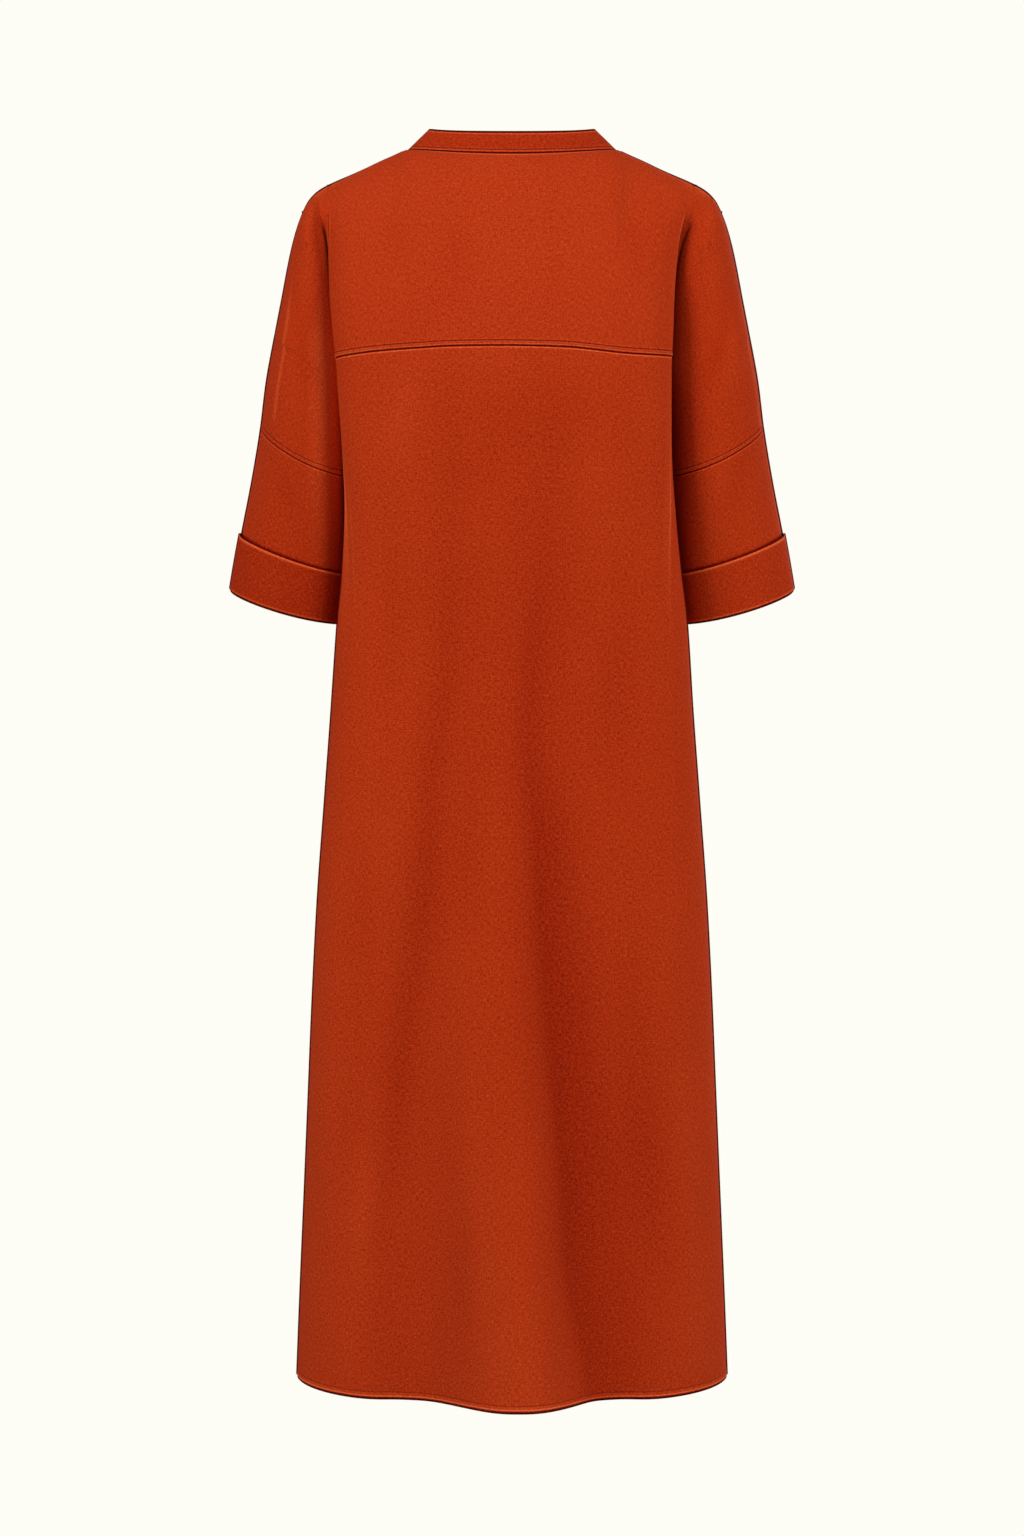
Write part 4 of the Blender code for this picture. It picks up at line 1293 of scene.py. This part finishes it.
def clothMaterial(name, coordinates="clothMap"):
    material = bpy.data.materials.new(name)
    material.use_nodes = True
    shader, nodes, links = plainShader(material)
    uv = nodes.new("ShaderNodeUVMap")
    uv.uv_map = coordinates
    split = nodes.new("ShaderNodeSeparateXYZ")
    links.new(uv.outputs["UV"], split.inputs[0])

    def mathNode(operation, a, b=None):
        node = nodes.new("ShaderNodeMath")
        node.operation = operation
        for socket, value in zip(node.inputs, (a, b)):
            if value is None:
                continue
            if isinstance(value, (int, float)):
                socket.default_value = value
            else:
                links.new(value, socket)
        return node.outputs[0]

    def stretchedNoise(scaleU, scaleV, detail, seed):
        mapping = nodes.new("ShaderNodeMapping")
        mapping.inputs["Location"].default_value = (seed, seed * 0.7, seed * 1.3)
        mapping.inputs["Scale"].default_value = (scaleU, scaleV, 1.0)
        links.new(uv.outputs["UV"], mapping.inputs["Vector"])
        noise = nodes.new("ShaderNodeTexNoise")
        noise.inputs["Scale"].default_value = 1.0
        noise.inputs["Detail"].default_value = detail
        noise.inputs["Roughness"].default_value = cloth["noiseRoughness"]
        links.new(mapping.outputs["Vector"], noise.inputs["Vector"])
        return noise.outputs["Fac"]

    warpSlub = stretchedNoise(cloth["slubAcross"], cloth["slubAlong"], 2.0, 3.1)
    weftSlub = stretchedNoise(cloth["slubAlong"], cloth["slubAcross"], 2.0, 7.7)
    cloudy = stretchedNoise(cloth["cloudAcross"], cloth["cloudAlong"], 3.0, 1.9)
    grain = mathNode("ADD", mathNode("MULTIPLY", warpSlub, 0.5), mathNode("MULTIPLY", weftSlub, 0.5))
    # the painted shading moves the colour along the ramp towards painted shade or painted highlight, on top
    # of the grain
    tone = nodes.new("ShaderNodeAttribute")
    tone.attribute_name = "tone"
    shade = mathNode("MULTIPLY", mathNode("SUBTRACT", grain, 0.5), cloth["grain"])
    clouds = mathNode("MULTIPLY", mathNode("SUBTRACT", cloudy, 0.5), cloth["cloudy"])
    shade = mathNode("ADD", shade, clouds)
    shade = mathNode("ADD", shade, mathNode("MULTIPLY", tone.outputs["Fac"], 0.5))
    ramp = nodes.new("ShaderNodeValToRGB")
    links.new(mathNode("ADD", shade, 0.5), ramp.inputs["Fac"])
    while len(ramp.color_ramp.elements) < len(cloth["colours"]):
        ramp.color_ramp.elements.new(0.5)
    for stop, (place, dye) in zip(ramp.color_ramp.elements, cloth["colours"]):
        stop.position = place
        stop.color = (*dye, 1.0)
    links.new(ramp.outputs["Color"], shader.inputs["Base Color"])

    # the plain weave: each way's threads rise and dip, thicker where a slub runs
    pitch = 2 * math.pi / cloth["threadPitch"]
    warp = mathNode("SINE", mathNode("MULTIPLY", split.outputs["X"], pitch))
    weft = mathNode("SINE", mathNode("MULTIPLY", split.outputs["Y"], pitch))
    weave = mathNode("ADD", mathNode("MULTIPLY", warp, warpSlub), mathNode("MULTIPLY", weft, weftSlub))
    height = mathNode("ADD", weave, mathNode("MULTIPLY", grain, cloth["grainHeight"]))
    bump = nodes.new("ShaderNodeBump")
    bump.inputs["Strength"].default_value = cloth["bumpStrength"]
    bump.inputs["Distance"].default_value = cloth["weaveBump"]
    links.new(height, bump.inputs["Height"])
    links.new(bump.outputs["Normal"], shader.inputs["Normal"])

    rough = nodes.new("ShaderNodeMapRange")
    rough.inputs["To Min"].default_value, rough.inputs["To Max"].default_value = cloth["roughness"]
    links.new(grain, rough.inputs["Value"])
    links.new(rough.outputs["Result"], shader.inputs["Roughness"])
    shader.inputs["Sheen Weight"].default_value = cloth["sheen"]
    shader.inputs["Sheen Roughness"].default_value = cloth["sheenRoughness"]
    shader.inputs["Sheen Tint"].default_value = (*cloth["sheenTint"], 1.0)
    shader.inputs["Specular IOR Level"].default_value = cloth["specular"]
    return material


threadLook = {
    "colours": ((0.165, 0.011, 0.0026), (0.245, 0.021, 0.0050)),
    "noiseScale": 900.0,
    "roughness": 0.6,
    "specular": 0.3,
}


def threadMaterial(name):
    material = bpy.data.materials.new(name)
    material.use_nodes = True
    shader, nodes, links = plainShader(material)
    where = nodes.new("ShaderNodeTexCoord")
    noise = nodes.new("ShaderNodeTexNoise")
    noise.inputs["Scale"].default_value = threadLook["noiseScale"]
    links.new(where.outputs["Object"], noise.inputs["Vector"])
    mixer = nodes.new("ShaderNodeMix")
    mixer.data_type = "RGBA"
    for socket, dye in zip(("A", "B"), threadLook["colours"]):
        mixer.inputs[socket].default_value = (*dye, 1.0)
    links.new(noise.outputs["Fac"], mixer.inputs["Factor"])
    links.new(mixer.outputs["Result"], shader.inputs["Base Color"])
    shader.inputs["Roughness"].default_value = threadLook["roughness"]
    shader.inputs["Specular IOR Level"].default_value = threadLook["specular"]
    return material


linen = clothMaterial("rustLinen")
thread = threadMaterial("rustThread")
print("cloth and thread materials ready")

panels = {}
for nodeName, pieceName in (
    ("back_yoke", "backYokeCloth"),
    ("back_panel", "backPanelCloth"),
    ("front", "frontCloth"),
    ("sleeve_left", "sleeveLeftCloth"),
    ("sleeve_right", "sleeveRightCloth"),
):
    panels[nodeName] = clothShell(pieceName, nodeName, linen)
    print(pieceName, "made,", len(panels[nodeName].data.polygons), "faces")

bandSizes = {
    "leanSide": (0.0215, 0.0215),
    "leanBack": (0.012, 0.0240),
    "leanFront": (0.007, 0.0270),
    "wall": 0.0022,
    "gap": 0.0001,
    "steps": 26,
    "stitchAt": 0.0048,
    # painted shade over the whole band
    "tone": -0.16,
    "roundSteps": 6,
    # height up from the foot, depth and painted shading: painted shade at the foot, then painted highlight
    "foot": (
        (0.0, 0.0001, -1.0),
        (0.0008, 0.0, -1.0),
        (0.0016, -0.0001, -0.9),
        (0.0021, -0.0002, 0.1),
        (0.0026, -0.0002, 0.75),
        (0.0033, -0.0002, 0.1),
    ),
    # the same about the stitches, in tenths of a millimetre, with painted shade along them
    "stitched": (
        (-12, -3, 0.2),
        (-6, -2, 0.0),
        (-2, 2, -0.8),
        (2, 2, -0.8),
        (6, -1, 0.0),
        (12, -2, 0.2),
        (20, -1, 0.0),
    ),
    # how far below the top, and painted shading: painted highlight, then painted shade where the band turns
    # over
    "top": ((0.0052, 0.0), (0.0042, 0.5), (0.0035, 0.7), (0.0029, -0.6), (0.0022, -0.95)),
    # painted shade round the folded top edge
    "foldTone": -0.95,
    "middle": (0.5, -0.0001),  # share of the height, and depth
    # shares of the height on the inner face, and their painted shade
    "inside": ((0.6, -0.1), (0.3, -0.1), (0.0, -0.3)),
}


def bandFrame(turn, face, share):
    # the foot of the band, which way it rises and which way is through its wall
    angle = math.pi / 2 * share
    leanEnd, riseEnd = bandSizes["leanBack"] if face == "back" else bandSizes["leanFront"]
    weight = math.sin(angle) ** 2
    lean = mix(leanEnd, bandSizes["leanSide"][0], weight)
    rise = mix(riseEnd, bandSizes["leanSide"][1], weight)
    ends = 1 if face == "back" else -1
    inwards = np.array((-turn * math.sin(angle), -ends * math.cos(angle), 0.0))
    up = inwards * lean + np.array((0.0, 0.0, rise))
    length = float(np.linalg.norm(up))
    up = up / length
    through = inwards * up[2] - np.array((0.0, 0.0, up @ inwards))
    base = np.array(neckBase(face, share)) * np.array((turn, 1, 1))
    return base, up, through, length


def bandProfile(length, wall):
    # height up the band, depth through it and painted shading, rounded at the folded top edge
    soft, steps, stitchAt = wall / 2, bandSizes["roundSteps"], bandSizes["stitchAt"]
    ring = list(bandSizes["foot"])
    ring += [(stitchAt + up / 1e4, deep / 1e4, tone) for up, deep, tone in bandSizes["stitched"]]
    ring.append((length * bandSizes["middle"][0], bandSizes["middle"][1], 0.0))
    ring += [(length - down, 0.0, tone) for down, tone in bandSizes["top"]]
    for i in range(steps + 1):
        turned = math.pi * i / steps
        across = soft - soft * math.cos(turned)
        ring.append((length - soft + soft * math.sin(turned), across, bandSizes["foldTone"]))
    ring += [(length * share, wall, tone) for share, tone in bandSizes["inside"]]
    return [(up, deep, tone + bandSizes["tone"]) for up, deep, tone in ring]


def bandWay(steps):
    # round the neck from the slit over the wearer's right side, the back and the left side
    right = [(-1, "front", i / steps) for i in range(steps + 1)]
    right += [(-1, "back", i / steps) for i in reversed(range(steps))]
    return right + [(1, face, share) for _, face, share in right[-2::-1]]


def sweep(rings, closed):
    count = len(rings[0])
    faces = []
    pairs = list(zip(range(len(rings)), range(1, len(rings))))
    if closed:
        pairs.append((len(rings) - 1, 0))
    for a, b in pairs:
        for i in range(count):
            j = (i + 1) % count
            faces.append([a * count + i, a * count + j, b * count + j, b * count + i])
    if not closed:
        faces.append(list(reversed(range(count))))
        faces.append([(len(rings) - 1) * count + i for i in range(count)])
    return np.array([p for ring in rings for p in ring]), faces


def mapSweep(piece, rings, closed):
    # lays the cloth map round a swept piece: along the sweep, and round its section
    points = np.array(rings)
    along = np.linalg.norm(np.diff(points.mean(axis=1), axis=0), axis=1)
    along = np.concatenate([[0], np.cumsum(along)])
    section = np.linalg.norm(np.diff(points, axis=1), axis=2).mean(axis=0)
    section = np.concatenate([[0], np.cumsum(section)])
    count = len(rings[0])
    layer = piece.data.uv_layers.new(name="clothMap")
    total = along[-1] + (along[1] if closed else 0.0)
    for polygon in piece.data.polygons:
        rows = [v // count for v in polygon.vertices]
        columns = [v % count for v in polygon.vertices]
        wrapRow = max(rows) - min(rows) > 1
        wrapColumn = max(columns) - min(columns) > count // 2
        for loop, row, column in zip(polygon.loop_indices, rows, columns):
            u = total if wrapRow and row == 0 else along[row]
            v = section[-1] + 0.001 if wrapColumn and column == 0 else section[column]
            layer.data[loop].uv = (u, v)


def turnOutwards():
    # makes the faces of the piece that was added last look outwards
    bpy.ops.object.mode_set(mode="EDIT")
    bpy.ops.mesh.select_all(action="SELECT")
    bpy.ops.mesh.normals_make_consistent(inside=False)
    bpy.ops.object.mode_set(mode="OBJECT")


def sweptPiece(name, rings, closed, tones):
    points, faces = sweep(rings, closed)
    piece = addMesh(name, points, faces, None, linen)
    giveTone(piece, tones)
    mapSweep(piece, rings, closed)
    turnOutwards()
    bpy.ops.object.shade_smooth_by_angle(angle=shell["smoothAngle"])
    return piece


def makeBand():
    rings = []
    for turn, face, share in bandWay(bandSizes["steps"]):
        base, up, through, length = bandFrame(turn, face, share)
        profile = bandProfile(length, bandSizes["wall"])
        rings.append([base + up * (bandSizes["gap"] + h) + through * d for h, d, _ in profile])
    return sweptPiece("neckBandCloth", rings, False, [tone for _, _, tone in profile] * len(rings))


panels["neck_band"] = makeBand()
print("neck band made")

cuffSizes = {
    "top": cuffTop,
    "end": 4.036,
    "outside": 0.0034,
    "inside": 0.0009,
    "steps": 44,
    "stand": 0.0007,
    "belly": 0.0006,
    "foldDepth": 0.0018,
    # painted shade over each cuff, deeper on the left one
    "tone": {"left": -0.20, "right": -0.08},
    "rollTones": (-0.9, -0.9, -0.9, -0.9, -0.7, 0.4, 0.8),  # painted shade, then painted highlight, round the folded top edge, from inside to outside
    # shares of the way down on the outer face, with their painted shading: painted highlight under the top
    # edge, and near the bottom painted highlight, then a dark line of painted shade
    "rows": (0.045, 0.07, 0.14, 0.25, 0.38, 0.5, 0.62, 0.74, 0.84, 0.905, 0.925, 0.942, 0.954, 0.966),
    "rowTones": (0.4, *[0.0] * 9, 0.3, 0.7, -0.6, -0.95),
    "roundSteps": 6,
    # painted shade on the fold under the sleeve's end
    "foldTone": -0.9,
    "insideRise": 1.6,
    "insideShare": 0.6,
    # painted shade on the inner face
    "insideTones": (-0.4, -0.3),
    # the pressed side, with places as shares of the way round from the inner side, where painted shade
    # darkens its outer edge
    "outerTone": 0.9,
    "outerToneFrom": (0.984, 0.005),
    "outerToneDeep": -0.95,
    "outerRidge": 0.0013,
    "outerRidgeWidth": 0.0015,
    "outerRadius": 0.054,
    "outerFlat": 0.5,
    "outerFlatFrom": (0.85, 0.12),
    "outerShares": (0.9840, 0.9890, 0.9925, 0.9960),
}


def ringNormal(side, face, share, step):
    corners = {
        name: np.array(sleeveRing(side, f, np.array(s), np.array(step)))
        for name, f, s in (
            ("back", "back", 0.5),
            ("front", "front", 0.5),
            ("inner", "back", 0.0),
            ("outer", "back", 1.0),
        )
    }
    halfX, halfY = (corners["outer"] - corners["inner"]) / 2, (corners["back"] - corners["front"]) / 2
    lengthX, lengthY = np.linalg.norm(halfX), np.linalg.norm(halfY)
    angle = math.pi * share
    turnY = 1 if face == "back" else -1
    normal = halfX / lengthX * -math.cos(angle) * lengthY
    normal = normal + halfY / lengthY * turnY * math.sin(angle) * lengthX
    return normal / np.linalg.norm(normal)


def cuffProfile(side):
    # step down the sleeve, how far out from it, and painted shading
    top, end, stand = cuffSizes["top"], cuffSizes["end"], cuffSizes["stand"]
    outside, inside = cuffSizes["outside"], cuffSizes["inside"]
    bottom = cuffSizes["foldDepth"]
    profile = []
    steps = cuffSizes["roundSteps"]
    for i, tone in enumerate(cuffSizes["rollTones"]):
        turned = math.pi * i / steps
        out = mix(inside, outside, (1 - math.cos(turned)) / 2) + stand
        profile.append((top + (1 - math.sin(turned)) * (outside - inside) / 2 / lowerUnit, out, tone))
    for share, tone in zip(cuffSizes["rows"], cuffSizes["rowTones"]):
        belly = outside + cuffSizes["belly"] * math.sin(math.pi * share) + stand * (1 - share) ** 3
        profile.append((mix(top, end, share), belly, tone + cuffSizes["tone"][side]))
    middle, half = (outside - cut["wall"]) / 2, (outside + cut["wall"]) / 2
    for i in range(steps + 1):  # the fold under the sleeve's end
        turned = math.pi * i / steps
        step = end - bottom / lowerUnit * (1 - math.sin(turned))
        profile.append((step, middle + half * math.cos(turned), cuffSizes["foldTone"]))
    low, high = cuffSizes["insideTones"]
    rise, share = cuffSizes["insideRise"], cuffSizes["insideShare"]
    profile.append((end - rise * bottom / lowerUnit, inside * share, low))
    profile.append((mix(top, end, 0.5), inside, high))
    return profile


def makeCuff(side):
    turn = 1 if side == "left" else -1
    inside, profile = cuffSizes["inside"], cuffProfile(side)
    rings = []
    steps = cuffSizes["steps"]
    # closer rings where the pressed side of the cuff turns
    down = sorted([i / steps for i in range(steps)] + list(cuffSizes["outerShares"]))
    around = [("back", share) for share in down + [1.0]] + [("front", share) for share in down[:0:-1]]
    for face, share in around:
        ring = []
        thin = 1 - cuffSizes["outerFlat"] * float(eased(share, *cuffSizes["outerFlatFrom"]))
        away = (1 - share) * math.pi * cuffSizes["outerRadius"]
        ridge = math.exp(-((away / cuffSizes["outerRidgeWidth"]) ** sewnForm["dipPower"]))
        for step, out, _ in profile:
            point = np.array(sleeveRing(side, face, np.array(share), np.array(step)))
            if out > inside:
                out = inside + (out - inside) * thin + cuffSizes["outerRidge"] * ridge
            point = point + ringNormal(side, face, share, step) * out
            ring.append(point * np.array((turn, 1, 1)))
        rings.append(ring if turn < 0 else ring[::-1])
    tones = np.array([tone for _, _, tone in profile])
    tones = tones if turn < 0 else tones[::-1]
    # painted shade along the pressed outer side of the cuff
    deep, shown = cuffSizes["outerToneDeep"], cuffSizes["outerTone"]
    outer = [shown * float(eased(share, *cuffSizes["outerToneFrom"])) for _, share in around]
    ringTones = np.concatenate([np.minimum(tones, mix(tones, deep, dark)) for dark in outer])
    return sweptPiece("cuff" + side.capitalize() + "Cloth", rings, True, ringTones)


for side in ("left", "right"):
    panels["cuff_" + side] = makeCuff(side)
print("cuffs made")

stitch = {
    "length": 0.0026,
    "gap": 0.0009,
    "radius": 0.00024,
    "flat": 0.8,
    "sides": 6,
    "sink": 0.00006,
    # share of the way along a stitch, how thick it is there and how high it lies
    "rings": ((0.0, 0.45, -0.9), (0.18, 0.95, 0.1), (0.5, 1.0, 0.35), (0.82, 0.95, 0.1), (1.0, 0.45, -0.9)),
    "overarmEnds": (0.004, 0.012),
    "slitAt": 0.0045,
    "slitPast": 0.004,
    "bandSteps": 40,
    "bandLift": 0.0001,
}


def pathAt(ids, distance, along):
    # the line on the cloth that stays one distance from a grid's first or last row or column
    points, normals = form["points"], form["normals"]
    away = distanceFrom(ids, points, along)
    if along in ("firstColumn", "lastColumn"):
        ids, away = ids.T, away.T
    if along.startswith("last"):
        ids, away = ids[::-1], away[::-1]
    path, facing = [], []
    for column in range(ids.shape[1]):
        d = distance(column) if callable(distance) else distance
        row = int(np.searchsorted(away[:, column], d))
        row = min(max(row, 1), ids.shape[0] - 1)
        a, b = away[row - 1, column], away[row, column]
        t = (d - a) / max(b - a, 1e-9)
        low, high = ids[row - 1, column], ids[row, column]
        path.append(mix(points[low], points[high], t))
        facing.append(mix(normals[low], normals[high], t))
    return np.array(path), np.array(facing)


def sewAlong(path, facing, points, faces):
    steps = np.linalg.norm(np.diff(path, axis=0), axis=1)
    reach = np.concatenate([[0], np.cumsum(steps)])
    pitch = stitch["length"] + stitch["gap"]
    count = int(reach[-1] / pitch)
    if count < 2:
        return
    pitch = reach[-1] / count
    sides, radius, last = stitch["sides"], stitch["radius"], len(stitch["rings"]) - 1

    def where(s):
        return np.array([np.interp(s, reach, path[:, k]) for k in range(3)])

    for i in range(count):
        s = (i + 0.5) * pitch
        a, b = where(s - stitch["length"] / 2), where(s + stitch["length"] / 2)
        up = np.array([np.interp(s, reach, facing[:, k]) for k in range(3)])
        ahead = (b - a) / max(float(np.linalg.norm(b - a)), 1e-9)
        across = np.cross(ahead, up)
        across = across / max(float(np.linalg.norm(across)), 1e-9)
        up = np.cross(across, ahead)
        start = len(points)
        for share, fat, lift in stitch["rings"]:
            centre = mix(a, b, share) + up * (lift * radius - stitch["sink"])
            for k in range(sides):
                turned = 2 * math.pi * k / sides
                way = across * math.cos(turned) + up * math.sin(turned) * stitch["flat"]
                points.append(centre + way * radius * fat)
        for ring in range(last):
            for k in range(sides):
                j = (k + 1) % sides
                low, high = start + ring * sides, start + (ring + 1) * sides
                faces.append([low + k, low + j, high + j, high + k])
        faces.append([start + k for k in reversed(range(sides))])
        faces.append([start + last * sides + k for k in range(sides)])


def sewPiece(name, paths):
    points, faces = [], []
    for path, facing in paths:
        sewAlong(path, facing, points, faces)
    piece = addMesh(name, np.array(points), faces, None, thread)
    turnOutwards()
    bpy.ops.object.shade_smooth()
    print(name, "sewn,", len(faces), "faces")
    return piece


def joined(left, right):
    # one run from the left side over the middle to the right side
    return tuple(np.concatenate([a[::-1], b[1:]]) for a, b in zip(left, right))


grids = form["grids"]
bodyCount = len(bodyStations)
yokeRuns = [
    pathAt(grids["upper", side, "back"][:, :bodyCount], seams["yoke"]["stitchAt"], "lastRow")
    for side in ("left", "right")
]
hemRuns, sleeveRuns = {}, {}
for face in ("back", "front"):
    hemRuns[face] = joined(
        *[pathAt(grids["skirt", side, face], cut["hemDepth"], "lastRow") for side in ("left", "right")]
    )
    sleeveRuns[face] = [
        pathAt(grids["upperSleeve", side, face], seams["sleeve"]["stitchAt"], "lastRow")
        for side in ("left", "right")
    ]


def overarmRun(side):
    # the overarm seam's own stitching, along its pressed line on the back of the sleeve
    points, normals, pressed = form["points"], form["normals"], overarm[side]
    low, high = pressed["z"][0] + stitch["overarmEnds"][0], pressed["z"][-1] - stitch["overarmEnds"][1]
    path, facing = [], []
    above, below = grids["upper", side, "back"][:, bodyCount - 1 :], grids["upperSleeve", side, "back"][1:]
    for row in [*above, *below]:
        off = sleeveStations - at(pressed, "station", points[row, 2])
        i = int(np.argmax(off > 0))
        share = off[i - 1] / (off[i - 1] - off[i])
        place = mix(points[row[i - 1]], points[row[i]], share)
        if low < place[2] < high:
            path.append(place)
            facing.append(mix(normals[row[i - 1]], normals[row[i]], share))
    return np.array(path), np.array(facing)


overarmRuns = [overarmRun(side) for side in ("left", "right")]
sewing = {
    "back_yoke": sewPiece("backYokeStitching", [joined(*yokeRuns), *sleeveRuns["back"], *overarmRuns]),
    "back_panel": sewPiece("backHemStitching", [hemRuns["back"]]),
}

slitRuns = []
for side in ("left", "right"):
    ids = grids["upper", side, "front"][:, :bodyCount]
    upper = pathAt(ids, stitch["slitAt"], "firstColumn")
    lower = pathAt(grids["skirt", side, "front"], stitch["slitAt"], "firstColumn")
    keep = lower[0][:, 2] > cut["slitEndZ"] - stitch["slitPast"]
    slitRuns.append(tuple(np.concatenate([a, b[keep][1:]]) for a, b in zip(upper, lower)))
sewing["front"] = sewPiece("frontStitching", [hemRuns["front"], *slitRuns, *sleeveRuns["front"]])

bandPath, bandFacing = [], []
for turn, face, share in bandWay(stitch["bandSteps"])[1:-1]:
    base, up, through, length = bandFrame(turn, face, share)
    bandPath.append(base + up * (bandSizes["gap"] + bandSizes["stitchAt"]) + through * stitch["bandLift"])
    bandFacing.append(-through)
sewing["neck_band"] = sewPiece("neckBandStitching", [(np.array(bandPath), np.array(bandFacing))])

# each piece and its stitching ride on the root, and the parts they stand in for are hidden
for nodeName, piece in panels.items():
    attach(piece, "root")
    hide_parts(nodeName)
for piece in sewing.values():
    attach(piece, "root")

print("dress finished")
